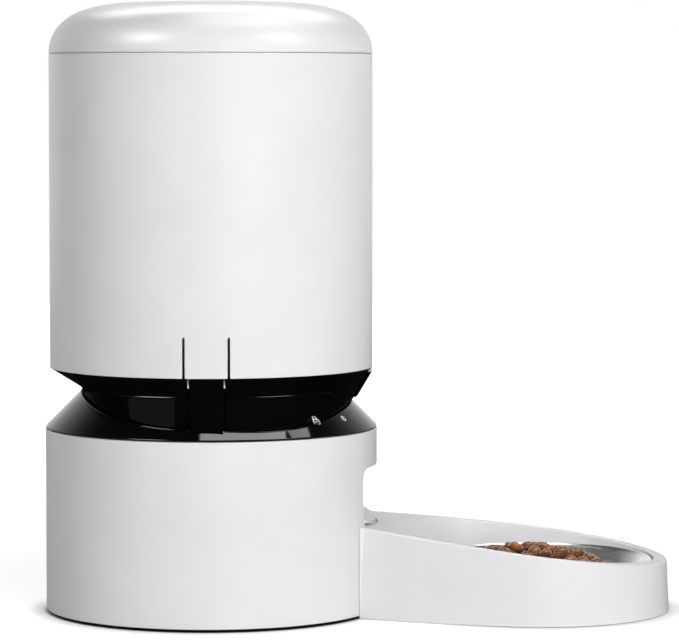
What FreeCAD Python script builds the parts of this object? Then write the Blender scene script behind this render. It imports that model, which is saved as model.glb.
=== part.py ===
import FreeCAD, Part
import math
import os
from FreeCAD import Vector

# Automatic pet feeder: a round base with the drive in it, a lift-off food hopper with a lid,
# and a tray with a steel bowl in front. Millimetres, +Z up, the floor at z = 0.
# Everything is drawn about the hopper's axis, with the bowl towards +X and the release tabs
# on the two Y sides. The finished pieces are then moved along X, so that the origin is on
# the floor under the middle of the whole feeder.

# ---- Overall sizes ----
base_radius = 100.0
base_bottom_z = 2.4             # the rubber feet lift the base by this
base_top_z = 110.65
hopper_inset = 2.8              # the hopper is this much slimmer than the base, on the radius
neck_height = 36.6              # from the base shell's top to the white hopper shell
hopper_height = 188.25
dome_height = 30.5
tray_neck = 26.7                # from the base's wall to the bowl's rim
tray_margin = 9.7               # from the bowl's pocket to the outside of the tray

# ---- Walls and clearances ----
wall = 2.4
thin_wall = 1.8
body_gap = 0.3                  # between pieces that come apart
running_gap = 0.05              # radial, shaft in bearing
deck_step = 1.05                # from the base shell's top to the foot of the deck's slope
floor_gap = 0.5                 # hopper's floor over the well's floor
rotor_gap = 0.6                 # feed rotor over the chamber's floor
slip = 0.1                      # between a piece and the hole that it is pressed or glued into
screw_slip = 0.2                # round a screw's shank or head
seam = 0.3                      # open line between neighbouring shells

# ---- Control deck ----
deck_groove = 0.7               # narrow step under the deck's lower edge
well_depth = 14.65              # the well's floor, below the base shell's top
well_margin_x = 18.7            # from the well's rim to the base's wall, front and back
well_margin_y = 5.4             # the same at the sides
well_shift = 3.3                # the oval well stands a little forward of the axis
oval_power = 2.2
screen_half_angle = 12.5
screen_low_inset = 3.6          # the display's edges, in from the deck's own edge
screen_high_inset = 9.0
screen_thickness = 1.2

# ---- Hopper collar ----
waist_gap_x = 0.8               # waist to well, front and back
waist_gap_y = 6.6               # the open moat at the sides
collar_slope = 31.0             # degrees from upright
collar_drop = 12.25             # the collar's slope goes down this far
fascia_drop = 19.65
fascia_half_angle = 37.0
finger_half_angle = 36.0
finger_depth = 19.6
badge_half_angle = 9.0
badge_low_drop = 17.65
badge_high_drop = 2.45
badge_thickness = 1.5

# ---- Release tabs ----
tab_x = 0.4
tab_half_width = 12.35
slit_width = 1.5
tab_height = 23.75
arm_inset = 2.25                # the arm is narrower than its tab by this, each side
arm_gap = 0.8
arm_thickness = 2.2
arm_proud = 1.6                 # the arm stands out of the waist by this
arm_lift = 4.6                  # from the well's floor to the arm's foot
hook_inset = 1.6
hook_reach = 1.1                # how far the hook enters the well's wall
hook_height = 5.0
notch_gap = 1.15
notch_depth = 1.5
press_room = 4.3                # free travel behind the arm

# ---- Feed rotor ----
chamber_radius = 64.0
chamber_height = 36.0
funnel_step = 5.0
outlet_inset = 1.0
funnel_rise = 43.0
outlet_inner = 36.0
outlet_half_angle = 26.0
vane_count = 6
vane_height = 31.0
vane_thickness = 2.4
hub_radius = 13.0
wiper_overlap = 5.0
wiper_thickness = 1.6
shield_half_angle = 40.0
stirrer_radius = 2.5
stirrer_reach = 46.0
stirrer_height = 9.5
hex_flats = 12.0
hex_height = 14.0

# ---- Gear train ----
pressure_angle = 20.0
addendum = 0.9                  # in modules
dedendum = 1.2
backlash = 0.2
fast_module = 0.8
slow_module = 1.0
pinion_teeth = 14
idler_wheel_teeth = 40
idler_pinion_teeth = 16
output_teeth = 40
idler_direction = 135.0         # degrees, seen from above, about the output shaft
motor_direction = 180.0         # degrees, about the idler axle
fast_gear_rise = 3.5            # above the gearbox's floor
fast_gear_width = 4.0
slow_gear_rise = 9.0
slow_gear_width = 7.0
gearbox_drop = 20.0             # the gearbox hangs this far under the deck's floor
ear_step = 3.6                  # screw ears stand this far outside the gearbox wall
ear_radius = 4.6
shaft_radius = 6.0
stub_radius = 4.0
axle_radius = 2.0
motor_shaft_radius = 1.5
motor_radius = 12.2
motor_length = 19.5
gearhead_radius = 12.5
gearhead_length = 9.7

# ---- Food outlet ----
window_half_width = 40.0
window_height = 36.8
window_drop = 7.2               # the food window's top, under the deck's floor
window_corner = 7.0
chute_wall = 2.0
sensor_size = 8.0
lip_rise = 3.5                  # the chute's lip above the window's edge
chute_bend_depth = 12.0
chute_bend_rise = 4.0

# ---- Base inside ----
boss_radius = 5.4
boss_inset = 5.0                # screw bosses, in from the wall's inside
boss_top_z = 45.0
boss_angles = (60, 120, 240, 300)
lug_angles = (50, 130, 230, 310)
lug_inset = 11.6
screw_radius = 1.5
post_radius = 3.6               # posts that the screws bite into
screw_head_radius = 2.8
foot_inset = 17.0
foot_radius = 8.0
foot_angles = (45, 135, 225, 315)
plate_z = 3.0
cell_radius = 17.1              # D cell
cell_length = 61.5
cell_pitch = 35.5
cell_count = 3
bay_x = -24.0
bay_wall = 1.6
inlet_z = 24.0
plug_bore_radius = 2.95
inlet_radius = 5.3
board_shift = 14.0
board_y = 50.0
board_half_length = 34.0
board_height = 48.0
board_thickness = 1.6

# ---- Lid ----
seal_thickness = 1.6
skirt_depth = 13.0
desiccant_radius = 30.0
desiccant_depth = 18.0
cap_radius = 11.0
cap_height = 0.9

# ---- Tray and bowl ----
tray_bottom_z = 1.5             # the tray's pads lift it by this
tray_side_radius = 341.6
tray_tangent = 11.8             # degrees where the long side arc leaves the end circle
tray_draft = 3.0
tray_floor = 2.0
rim_end_drop = 0.12             # the tray's rim at its far end, under the bowl's rim
rim_slope = 0.127
rim_wall = 3.4
rim_end_wall = 8.0
slide_margin = 15.2             # from the bowl's pocket to the slide's edge
pocket_gap = 1.0                # between the bowl's rim and its pocket
rim_proud = 1.3                 # the bowl's rim above its pocket's edge
tongue_offset = 28.0
tongue_width = 14.0
tongue_low_z = 9.0
tongue_height = 6.0
tongue_length = 12.0
bowl_radius = 69.8
bowl_rim_z = 31.3
bowl_thickness = 0.8
rim_roll = 1.4
pad_radius = 7.0
pad_inset = 11.8

# ---- Worked-out places ----
hopper_radius = base_radius - hopper_inset
hopper_z = base_top_z + neck_height
bowl_x = base_radius + tray_neck + bowl_radius      # from the hopper's axis to the bowl's
pocket_radius = bowl_radius + pocket_gap
tray_end_radius = pocket_radius + tray_margin
slide_radius = pocket_radius + slide_margin
pocket_top_z = bowl_rim_z - rim_proud
rim_back_z = (bowl_rim_z - rim_end_drop                # where the sloping rim meets the base
              + rim_slope * (bowl_x + tray_end_radius - base_radius))
pad_ring = bowl_radius - pad_inset
axis_x = (base_radius - bowl_x - tray_end_radius) / 2
base_inside = base_radius - wall
deck_floor_z = base_top_z - well_depth
deck_z = base_top_z + deck_step     # where the 45 degree deck starts at the full radius
floor_top_z = deck_floor_z + wall
hopper_floor_z = floor_top_z + floor_gap
chamber_z = hopper_floor_z + wall
funnel_z = chamber_z + chamber_height + funnel_step
hopper_inside = hopper_radius - wall
lid_z = hopper_z + hopper_height
well_half_x = base_radius - well_margin_x
well_half_y = base_radius - well_margin_y
waist_half_x = well_half_x - waist_gap_x
waist_half_y = well_half_y - waist_gap_y
arm_radius = waist_half_y + arm_proud               # outside of the arm beside the waist
pocket_y = arm_radius - arm_thickness - press_room
arm_low_z = floor_top_z + arm_lift
hook_z = arm_low_z + hook_height
tab_top_z = hopper_z + tab_height
arm_half_width = tab_half_width - arm_inset
hook_half_width = arm_half_width - hook_inset
notch_half_width = hook_half_width + notch_gap
screen_low_radius = base_radius - screen_low_inset
screen_high_radius = base_radius - screen_high_inset
collar_edge_z = hopper_z - collar_drop
fascia_z = hopper_z - fascia_drop
finger_radius = hopper_radius - finger_depth
badge_low_z = hopper_z - badge_low_drop
badge_high_z = hopper_z - badge_high_drop
gearbox_z = deck_floor_z - gearbox_drop
fast_gear_z = gearbox_z + fast_gear_rise
slow_gear_z = gearbox_z + slow_gear_rise
window_high_z = deck_floor_z - window_drop
window_low_z = window_high_z - window_height
chute_low_z = window_low_z + lip_rise
chute_bend_x = base_radius - chute_bend_depth
chute_bend_z = chute_low_z + chute_bend_rise
sensor_z = deck_floor_z - 18.0
board_x = bay_x + board_shift
boss_ring = base_inside - boss_inset
lug_ring = base_inside - lug_inset
foot_ring = base_radius - foot_inset
rotor_z = chamber_z + rotor_gap
outlet_outer = chamber_radius - outlet_inset
fast_centres = fast_module * (pinion_teeth + idler_wheel_teeth) / 2
slow_centres = slow_module * (output_teeth + idler_pinion_teeth) / 2
hex_radius = hex_flats / math.sqrt(3)


def polar(radius, degrees):
    angle = math.radians(degrees)
    return radius * math.cos(angle), radius * math.sin(angle)


idler_xy = polar(slow_centres, idler_direction)
motor_step = polar(fast_centres, motor_direction)
motor_xy = (idler_xy[0] + motor_step[0], idler_xy[1] + motor_step[1])


# ---- Shape helpers ----
def block(x0, x1, y0, y1, z0, z1):
    low = Vector(min(x0, x1), min(y0, y1), min(z0, z1))
    return Part.makeBox(abs(x1 - x0), abs(y1 - y0), abs(z1 - z0), low)


def cylinder(radius, z0, z1, x=0.0, y=0.0):
    return Part.makeCylinder(radius, z1 - z0, Vector(x, y, z0))


def tube(outer, inner, z0, z1, x=0.0, y=0.0):
    return cylinder(outer, z0, z1, x, y).cut(cylinder(inner, z0, z1, x, y))


def rod(radius, start, end):
    step = end.sub(start)
    return Part.makeCylinder(radius, step.Length, start, step)


def spun(points):
    """A closed outline of (radius, z) corners turned about the Z axis."""
    corners = [Vector(r, 0, z) for r, z in points]
    face = Part.Face(Part.makePolygon(corners + corners[:1]))
    return face.revolve(Vector(), Vector(0, 0, 1), 360)


def sector(half_angle, middle, radius, z0, z1):
    piece = Part.makeCylinder(radius, z1 - z0, Vector(0, 0, z0), Vector(0, 0, 1), 2 * half_angle)
    piece.rotate(Vector(), Vector(0, 0, 1), middle - half_angle)
    return piece


def turned(shape, degrees, x=0.0, y=0.0):
    copy = shape.copy()
    copy.rotate(Vector(x, y, 0), Vector(0, 0, 1), degrees)
    return copy


def side_prism(points, x0, x1, side):
    """A closed outline of (outward y, z) corners drawn out along X, on the given Y side."""
    corners = [Vector(x0, side * y, z) for y, z in points]
    face = Part.Face(Part.makePolygon(corners + corners[:1]))
    return face.extrude(Vector(x1 - x0, 0, 0))


def front_prism(points, half_width):
    """A closed outline of (x, z) corners drawn out along Y, evenly about the middle."""
    corners = [Vector(x, -half_width, z) for x, z in points]
    face = Part.Face(Part.makePolygon(corners + corners[:1]))
    return face.extrude(Vector(0, 2 * half_width, 0))


def closed_curve(points):
    curve = Part.BSplineCurve()
    curve.interpolate(points, True)
    return Part.Wire(curve.toShape())


def oval(half_x, half_y, z0, z1):
    """The well's oval, a softly squared ellipse, as a prism."""
    points = []
    for step in range(32):
        c = math.cos(2 * math.pi * step / 32)
        s = math.sin(2 * math.pi * step / 32)
        x = half_x * math.copysign(abs(c) ** (2 / oval_power), c)
        y = half_y * math.copysign(abs(s) ** (2 / oval_power), s)
        points.append(Vector(well_shift + x, y, z0))
    return Part.Face(closed_curve(points)).extrude(Vector(0, 0, z1 - z0))


def rounded_window(half_width, z0, z1, corner, x0, x1):
    shape = block(x0, x1, -half_width, half_width, z0, z1)
    edges = [e for e in shape.Edges if abs(e.tangentAt(e.FirstParameter).x) > 0.99]
    return shape.makeFillet(corner, edges)


def joined(shapes):
    whole = shapes[0]
    for shape in shapes[1:]:
        whole = whole.fuse(shape)
    return whole.removeSplitter()


def less(shape, tools):
    for tool in tools:
        shape = shape.cut(tool)
    return shape


def screw(x, y, z0, length, up=1):
    """A pan-head screw; z0 is the underside of its head and up is the way the shank points."""
    head = Part.makeCylinder(screw_head_radius, 1.8, Vector(x, y, z0), Vector(0, 0, -up))
    shank = Part.makeCylinder(screw_radius, length, Vector(x, y, z0), Vector(0, 0, up))
    slot = block(x - screw_head_radius, x + screw_head_radius, y - 0.4, y + 0.4, z0 - up, z0 - 2 * up)
    return head.fuse(shank).cut(slot)


# ---- Base ----
def deck_solid(drop=0.0):
    """Everything under the deck's 45 degree cone, from the well's floor up."""
    top = base_radius - finger_radius + 4.0
    return spun([(0, deck_floor_z), (base_radius, deck_floor_z), (base_radius, deck_z - drop),
                 (base_radius - top, deck_z + top - drop), (0, deck_z + top - drop)])


def outlet_hole(z0, z1):
    ring = tube(outlet_outer, outlet_inner, z0, z1)
    return ring.common(sector(outlet_half_angle, 0, outlet_outer + 1, z0, z1))


def tongue(x0, x1, side, grow=0.0):
    half = tongue_width / 2 + grow
    middle = side * tongue_offset
    return block(x0, x1, middle - half, middle + half, tongue_low_z - grow,
                 tongue_low_z + tongue_height + grow)


def base_shell():
    shell = tube(base_radius, base_inside, base_bottom_z, base_top_z)
    bosses = []
    for angle in boss_angles:
        x, y = polar(boss_ring, angle)
        boss = cylinder(boss_radius, plate_z + wall + seam, boss_top_z, x, y)
        bosses.append(boss.cut(cylinder(screw_radius, 0, boss_top_z - 5, x, y)))
    for angle in lug_angles:
        lug = block(lug_ring - 5, base_inside + 0.5, -6, 6, deck_floor_z - 8, deck_floor_z - 5)
        lug = lug.cut(cylinder(screw_radius + screw_slip, 0, deck_floor_z, lug_ring))
        bosses.append(turned(lug, angle))
    shell = joined([shell] + bosses)
    window = rounded_window(window_half_width, window_low_z, window_high_z, window_corner,
                            chamber_radius, base_radius + 5)
    slots = [tongue(base_inside - 10, base_radius + 5, side, body_gap + 0.2) for side in (-1, 1)]
    inlet = rod(inlet_radius, Vector(-base_radius - 5, 0, inlet_z), Vector(-base_radius + 12, 0, inlet_z))
    return less(shell, [window, inlet] + slots)


def bay_box(grow=0.0):
    half_x = (cell_count - 1) * cell_pitch / 2 + cell_radius + 1.2 + grow
    half_y = cell_length / 2 + 2.6 + grow
    return bay_x - half_x, bay_x + half_x, -half_y, half_y


def base_plate():
    radius = base_inside - seam
    plate = cylinder(radius, plate_z, plate_z + wall)
    x0, x1, y0, y1 = bay_box(-1.0)
    holes = [block(x0, x1, y0, y1, 0, plate_z + 10)]
    for angle in boss_angles:
        x, y = polar(boss_ring, angle)
        holes.append(cylinder(screw_radius + screw_slip, 0, plate_z + wall, x, y))
        holes.append(cylinder(screw_head_radius + screw_slip, 0, plate_z + 1.0, x, y))
    for angle in foot_angles:
        x, y = polar(foot_ring, angle)
        holes.append(cylinder(foot_radius, 0, plate_z + 1.2, x, y))
    posts = []
    for x in (board_x - board_half_length, board_x + board_half_length):
        post = block(x - 3, x + 3, board_y - 3, board_y + board_thickness + 3, plate_z,
                     plate_z + wall + board_height / 2)
        posts.append(post.cut(board(slip)))
    return joined([less(plate, holes)] + posts)


def rubber_feet():
    return Part.makeCompound([cylinder(foot_radius, 0, plate_z + 1.2, *polar(foot_ring, angle))
                              for angle in foot_angles])


def base_screws():
    return Part.makeCompound([screw(*polar(boss_ring, angle), plate_z + 1.0, 14.0)
                              for angle in boss_angles])


def notch(side):
    y = well_half_y + notch_depth
    return block(tab_x - notch_half_width, tab_x + notch_half_width, side * (well_half_y - 8), side * y,
                 arm_low_z - 1, deck_z + 20)


def screen_region(depth, grow=0.0):
    low_z = deck_z + base_radius - screen_low_radius - grow
    high_z = deck_z + base_radius - screen_high_radius + grow
    skin = deck_solid().cut(deck_solid(depth * math.sqrt(2)))
    half_angle = screen_half_angle + math.degrees(grow / base_radius)
    return skin.common(sector(half_angle, 0, base_radius + 5, low_z, high_z))


def control_deck():
    slant = wall * math.sqrt(2)
    top = base_radius - finger_radius + 4.0
    inner = base_inside - seam - wall
    ring = spun([(base_inside - seam, deck_z - 7.5), (base_inside - seam, base_top_z + seam),
                 (base_radius - deck_groove, base_top_z + seam), (base_radius, deck_z),
                 (base_radius - top, deck_z + top), (base_radius - top, deck_z + top - slant),
                 (inner, deck_z + base_radius - slant - inner), (inner, deck_z - 7.5)])
    hole = oval(well_half_x, well_half_y, deck_floor_z, deck_z + 40)
    bowl = oval(well_half_x + wall, well_half_y + wall, deck_floor_z, deck_z + 40)
    bowl = bowl.common(cylinder(base_inside - seam, deck_floor_z, base_top_z).fuse(
        cylinder(base_radius, base_top_z, deck_z + 40)))
    well = bowl.cut(hole)
    floor = bowl.common(cylinder(base_radius, deck_floor_z, floor_top_z))
    posts = []
    for angle in lug_angles:
        x, y = polar(lug_ring, angle)
        posts.append(cylinder(post_radius, deck_floor_z - 5, floor_top_z, x, y))
    deck = joined([ring.cut(hole), well.common(deck_solid()), floor] + posts)
    cuts = [outlet_hole(deck_floor_z - 1, floor_top_z + 1), notch(-1), notch(1),
            cylinder(shaft_radius + wall, deck_floor_z - 1, floor_top_z + 1),
            screen_region(screen_thickness, slip)]
    for angle in lug_angles:
        cuts.append(cylinder(screw_radius, deck_floor_z - 6, floor_top_z - 1.0, *polar(lug_ring, angle)))
    for x, y in gearbox_ears():
        cuts.append(cylinder(screw_radius, deck_floor_z - 1, floor_top_z - 0.2, x, y))
    return less(deck, cuts)


def deck_screws():
    return Part.makeCompound([screw(*polar(lug_ring, angle), deck_floor_z - 8, 8.5)
                              for angle in lug_angles])


def touch_board():
    low_z = base_top_z - 4.0
    ring = tube(base_inside - seam - wall - 0.3, well_half_x, low_z, low_z + 1.2)
    strip = ring.common(sector(48, 0, base_radius, low_z, low_z + 1.2))
    return strip.cut(oval(well_half_x + wall + 0.3, well_half_y + wall + 0.3, low_z, low_z + 2))


def food_chute():
    top_z = deck_floor_z - 0.3
    start_x = outlet_inner - chute_wall
    half = window_half_width - chute_wall - 0.3
    reach = base_radius - 0.7
    line = [(start_x, top_z), (chute_bend_x, chute_bend_z), (reach, chute_low_z)]
    under = [(x, z - chute_wall) for x, z in reversed(line)]
    under[-1] = (start_x, top_z - 2 * chute_wall)
    floor = front_prism(line + under, half - window_corner / 2)
    side = front_prism(line + [(reach, top_z)], half + chute_wall).cut(
        front_prism(line + [(reach, top_z)], half))
    body = front_prism(line + under, half + chute_wall).fuse(side)
    body = body.common(cylinder(base_inside - seam, 0, deck_floor_z))
    mouth = rounded_window(window_half_width - 0.3, window_low_z + 0.3, window_high_z - 0.3,
                           window_corner - 0.3, chute_bend_x, base_radius + 5)
    inner = rounded_window(half, window_low_z + 0.3 + chute_wall, window_high_z + 5, window_corner - 2.0,
                           chute_bend_x - 1, base_radius + 6)
    lip = mouth.cut(inner).common(cylinder(reach, 0, chute_bend_z + 3))
    lip = lip.cut(cylinder(base_inside - wall, 0, deck_floor_z))
    slab = floor.common(cylinder(reach, 0, deck_floor_z)).common(mouth)
    return joined([body.cut(lip), lip, slab])


def jam_sensors():
    x = (chute_bend_x + outlet_inner) / 2 + 8
    y = window_half_width - 0.3
    half = sensor_size / 2
    return Part.makeCompound([block(x - half, x + half, side * y, side * (y + half), sensor_z, sensor_z + 7)
                              for side in (-1, 1)])


def battery_bay():
    x0, x1, y0, y1 = bay_box()
    z0 = plate_z + wall
    z1 = z0 + 2 * cell_radius + 4.0
    outer = block(x0 - bay_wall, x1 + bay_wall, y0 - bay_wall, y1 + bay_wall, z0, z1)
    bay = outer.cut(block(x0, x1, y0, y1, z0, z1 - bay_wall))
    ribs = []
    for side in (-0.5, 0.5):
        x = bay_x + side * cell_pitch
        ribs.append(block(x - 0.4, x + 0.4, y0, y1, z1 - bay_wall - 6, z1 - bay_wall))
    return joined([bay] + ribs)


def cell_places():
    middle = (cell_count - 1) / 2
    return [bay_x + (number - middle) * cell_pitch for number in range(cell_count)]


def cell_z():
    return plate_z + wall + 1.2 + cell_radius


def battery_cells():
    cells = []
    for number, x in enumerate(cell_places()):
        way = 1 if number % 2 else -1
        half = cell_length / 2
        can = rod(cell_radius, Vector(x, -way * half, cell_z()), Vector(x, way * (half - 1.5), cell_z()))
        nipple = rod(4.5, Vector(x, way * (half - 1.5), cell_z()), Vector(x, way * half, cell_z()))
        cells.append(can.fuse(nipple))
    return Part.makeCompound(cells)


def battery_contacts():
    pieces = []
    x0, x1, y0, y1 = bay_box()
    for number, x in enumerate(cell_places()):
        way = 1 if number % 2 else -1
        for side, inner in ((way, cell_length / 2), (-way, cell_length / 2 + 1.6)):
            z = cell_z()
            plate = block(x - 7, x + 7, side * (y1 - 0.4), side * y1, z - 8, z + 8)
            button = rod(4.0, Vector(x, side * inner, z), Vector(x, side * y1, z))
            if side == -way:
                coil = rod(6.0, Vector(x, side * (cell_length / 2), z), Vector(x, side * inner, z))
                coil = coil.cut(rod(5.0, Vector(x, side * (cell_length / 2 - 1), z),
                                    Vector(x, side * inner, z)))
                button = button.fuse(coil).fuse(rod(6.0, Vector(x, side * inner, z),
                                                    Vector(x, side * y1, z)))
            pieces.append(plate.fuse(button).removeSplitter())
    return Part.makeCompound(pieces)


def battery_door():
    x0, x1, y0, y1 = bay_box(-1.0 - body_gap)
    door = block(x0, x1, y0, y1, plate_z, plate_z + wall - body_gap)
    grip = block(x1 - 9, x1 - 3, -9, 9, plate_z - 1, plate_z + 0.8)
    ribs = [block(x - 12, x + 12, y0 + 6, y0 + 7.5, plate_z, plate_z + wall + 0.5) for x in cell_places()]
    return joined([door] + ribs).cut(grip)


def power_inlet():
    face_x = -base_radius + 1.2
    end_x = face_x + 13.0
    body = rod(inlet_radius - slip, Vector(face_x, 0, inlet_z), Vector(end_x, 0, inlet_z))
    bore = rod(plug_bore_radius, Vector(face_x - 1, 0, inlet_z), Vector(end_x - 3, 0, inlet_z))
    pin = rod(1.0, Vector(face_x + 0.5, 0, inlet_z), Vector(end_x, 0, inlet_z))
    nut = rod(inlet_radius + 2.5, Vector(-base_inside + 0.4, 0, inlet_z), Vector(-base_inside + 2.6, 0, inlet_z))
    return joined([body.cut(bore), pin, nut.cut(bore)])


def board(grow=0.0):
    middle = board_x
    half = board_half_length + grow
    z0 = plate_z + wall + 3.0
    return block(middle - half, middle + half, board_y - grow, board_y + board_thickness + grow,
                 z0 - grow, z0 + board_height + grow)


def board_components():
    x = board_x
    z = plate_z + wall + 3.0
    chip = block(x - 6, x + 6, board_y + board_thickness, board_y + board_thickness + 2, z + 22, z + 34)
    relay = block(x - 25, x - 14, board_y + board_thickness, board_y + board_thickness + 8, z + 28, z + 40)
    socket = block(x + 12, x + 26, board_y + board_thickness, board_y + board_thickness + 6, z + 34, z + 42)
    capacitors = [rod(4, Vector(x + side * 19, board_y + board_thickness, z + 14),
                      Vector(x + side * 19, board_y + board_thickness + 12, z + 14)) for side in (-1, 1)]
    return Part.makeCompound([chip, relay, socket] + capacitors)


# ---- Drive ----
def involute(angle):
    return math.tan(angle) - angle


def gear(module, teeth, z0, width, centre, phase, bore):
    """A spur gear with involute flanks; one tooth's middle points along phase, in degrees."""
    pitch = module * teeth / 2
    base = pitch * math.cos(math.radians(pressure_angle))
    tip = pitch + addendum * module
    root = pitch - dedendum * module
    half = math.pi / (2 * teeth) - backlash / (4 * pitch) + involute(math.radians(pressure_angle))
    start = max(base, root) + 1e-4
    radii = [start + (tip - start) * step / 4 for step in range(5)]
    lean = [half - involute(math.acos(base / radius)) for radius in radii]
    edges = []

    def spot(radius, angle):
        return Vector(centre[0] + radius * math.cos(angle), centre[1] + radius * math.sin(angle), z0)

    for tooth in range(teeth):
        middle = math.radians(phase) + 2 * math.pi * tooth / teeth
        following = middle + 2 * math.pi / teeth
        rising = [spot(radius, middle - angle) for radius, angle in zip(radii, lean)]
        falling = [spot(radius, middle + angle) for radius, angle in zip(radii, lean)][::-1]
        root_in = spot(root, middle - lean[0])
        root_out = spot(root, middle + lean[0])
        edges.append(Part.makeLine(root_in, rising[0]))
        for points in (rising, falling):
            curve = Part.BSplineCurve()
            curve.interpolate(points)
            if points is falling:
                edges.append(Part.Arc(rising[-1], spot(tip, middle), falling[0]).toShape())
            edges.append(curve.toShape())
        edges.append(Part.makeLine(falling[-1], root_out))
        valley = (middle + lean[0] + following - lean[0]) / 2
        edges.append(Part.Arc(root_out, spot(root, valley), spot(root, following - lean[0])).toShape())
    blank = Part.Face(Part.Wire(edges)).extrude(Vector(0, 0, width))
    return blank.cut(cylinder(bore, z0 - 1, z0 + width + 1, *centre))


def gearbox_ears():
    output_case, idler_case = gearbox_circles(0.0)[:2]
    step = polar(idler_case[2] + ear_step, 250)
    return (polar(output_case[2] + ear_step, -45), polar(output_case[2] + ear_step, 80),
            (idler_xy[0] + step[0], idler_xy[1] + step[1]))


def gearbox_circles(inset):
    output_tip = slow_module * (output_teeth / 2 + addendum)
    idler_tip = fast_module * (idler_wheel_teeth / 2 + addendum)
    pinion_tip = fast_module * (pinion_teeth / 2 + addendum)
    return [(0.0, 0.0, output_tip + 3.8 - inset), (*idler_xy, idler_tip + 3.0 - inset),
            (*motor_xy, pinion_tip + 3.4 - inset)]


def gearbox_outline(z0, z1, inset=0.0):
    return joined([cylinder(radius, z0, z1, x, y) for x, y, radius in gearbox_circles(inset)])


def gearbox_case():
    top_z = deck_floor_z - wall
    case = joined([gearbox_outline(gearbox_z, top_z)] +
                  [cylinder(ear_radius, gearbox_z, top_z, x, y) for x, y in gearbox_ears()])
    cuts = [gearbox_outline(gearbox_z + chute_wall, top_z + 1, chute_wall),
            cylinder(stub_radius + running_gap, gearbox_z - 1, gearbox_z + 5),
            cylinder(axle_radius, gearbox_z - 1, gearbox_z + 5, *idler_xy),
            cylinder(motor_shaft_radius + 1.5, gearbox_z - 1, gearbox_z + 5, *motor_xy)]
    cuts += [cylinder(screw_radius, gearbox_z - 1, top_z + 1, x, y) for x, y in gearbox_ears()]
    return less(case, cuts)


def gearbox_cover():
    z0 = deck_floor_z - wall
    cover = joined([gearbox_outline(z0, deck_floor_z)] +
                   [cylinder(ear_radius, z0, deck_floor_z, x, y) for x, y in gearbox_ears()])
    cuts = [cylinder(shaft_radius + 0.4, z0 - 1, deck_floor_z + 1),
            cylinder(axle_radius, z0 - 1, deck_floor_z + 1, *idler_xy)]
    cuts += [cylinder(screw_radius, z0 - 1, deck_floor_z + 1, x, y) for x, y in gearbox_ears()]
    return less(cover, cuts)


def gearbox_screws():
    length = floor_top_z - 0.6 - gearbox_z
    return Part.makeCompound([screw(x, y, gearbox_z, length) for x, y in gearbox_ears()])


def motor_can():
    z1 = gearbox_z - gearhead_length
    can = cylinder(motor_radius, z1 - motor_length, z1, *motor_xy)
    can = can.cut(cylinder(motor_radius - 1.2, z1 - motor_length + 1.2, z1 - 1.2, *motor_xy))
    return can.cut(cylinder(motor_shaft_radius + 0.5, z1 - 2, z1 + 1, *motor_xy))


def motor_gearhead():
    z0 = gearbox_z - gearhead_length
    return tube(gearhead_radius, motor_shaft_radius + 0.5, z0, gearbox_z, *motor_xy)


def motor_armature():
    z1 = gearbox_z - gearhead_length
    return cylinder(motor_radius - 3.2, z1 - motor_length + 3.0, z1 - 4.0, *motor_xy).cut(
        cylinder(motor_shaft_radius, 0, gearbox_z, *motor_xy))


def motor_shaft():
    z1 = gearbox_z - gearhead_length
    return cylinder(motor_shaft_radius, z1 - motor_length + 2.0, fast_gear_z + fast_gear_width + 1, *motor_xy)


def motor_pinion():
    phase = motor_direction + 180 + 180 / pinion_teeth
    return gear(fast_module, pinion_teeth, fast_gear_z, fast_gear_width, motor_xy, phase, motor_shaft_radius)


def idler_axle():
    return cylinder(axle_radius, gearbox_z + 0.4, deck_floor_z - 0.4, *idler_xy)


def idler_gear():
    bore = axle_radius + running_gap
    small_phase = idler_direction + 180 + 180 / idler_pinion_teeth
    wheel = gear(fast_module, idler_wheel_teeth, fast_gear_z, fast_gear_width, idler_xy, motor_direction, bore)
    small = gear(slow_module, idler_pinion_teeth, slow_gear_z, slow_gear_width, idler_xy, small_phase, bore)
    neck_radius = slow_module * (idler_pinion_teeth / 2 - dedendum)
    neck = tube(neck_radius, bore, fast_gear_z + fast_gear_width, slow_gear_z, *idler_xy)
    return joined([wheel, neck, small])


def output_gear():
    return gear(slow_module, output_teeth, slow_gear_z, slow_gear_width, (0.0, 0.0), idler_direction,
                shaft_radius)


def drive_shaft():
    stub = cylinder(stub_radius, gearbox_z, slow_gear_z - 1)
    body = cylinder(shaft_radius, slow_gear_z - 1, floor_top_z + 0.3)
    head = hexagon(hex_flats, floor_top_z + 0.3, floor_top_z + 0.3 + hex_height)
    return joined([stub, body, head])


def output_bushing():
    return tube(shaft_radius + wall, shaft_radius + running_gap, deck_floor_z, floor_top_z)


def hexagon(flats, z0, z1):
    radius = flats / math.sqrt(3)
    corners = [Vector(*polar(radius, 60 * step), z0) for step in range(7)]
    return Part.Face(Part.makePolygon(corners)).extrude(Vector(0, 0, z1 - z0))


# ---- Hopper ----
def taper_radius(z):
    return hopper_radius - (hopper_z - z) * math.tan(math.radians(collar_slope))


def taper(z0, z1, inset=0.0):
    return spun([(0, z0), (taper_radius(z0) - inset, z0), (taper_radius(z1) - inset, z1), (0, z1)])


def finger_cut(lift=0.0):
    """The sloping cut at the back of the collar, room for the fingers that lift the hopper."""
    far = base_radius + 10
    slope = (hopper_z - collar_edge_z) / (hopper_radius - finger_radius)
    face = spun([(finger_radius, collar_edge_z + lift), (far, collar_edge_z + lift + slope * (far - finger_radius)),
                 (far, collar_edge_z - 1), (finger_radius, collar_edge_z - 1)])
    above = cylinder(far, collar_edge_z, hopper_z + 20)
    return face.common(sector(finger_half_angle, 180, far + 1, collar_edge_z - 2, hopper_z + 30)).common(above)


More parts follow.
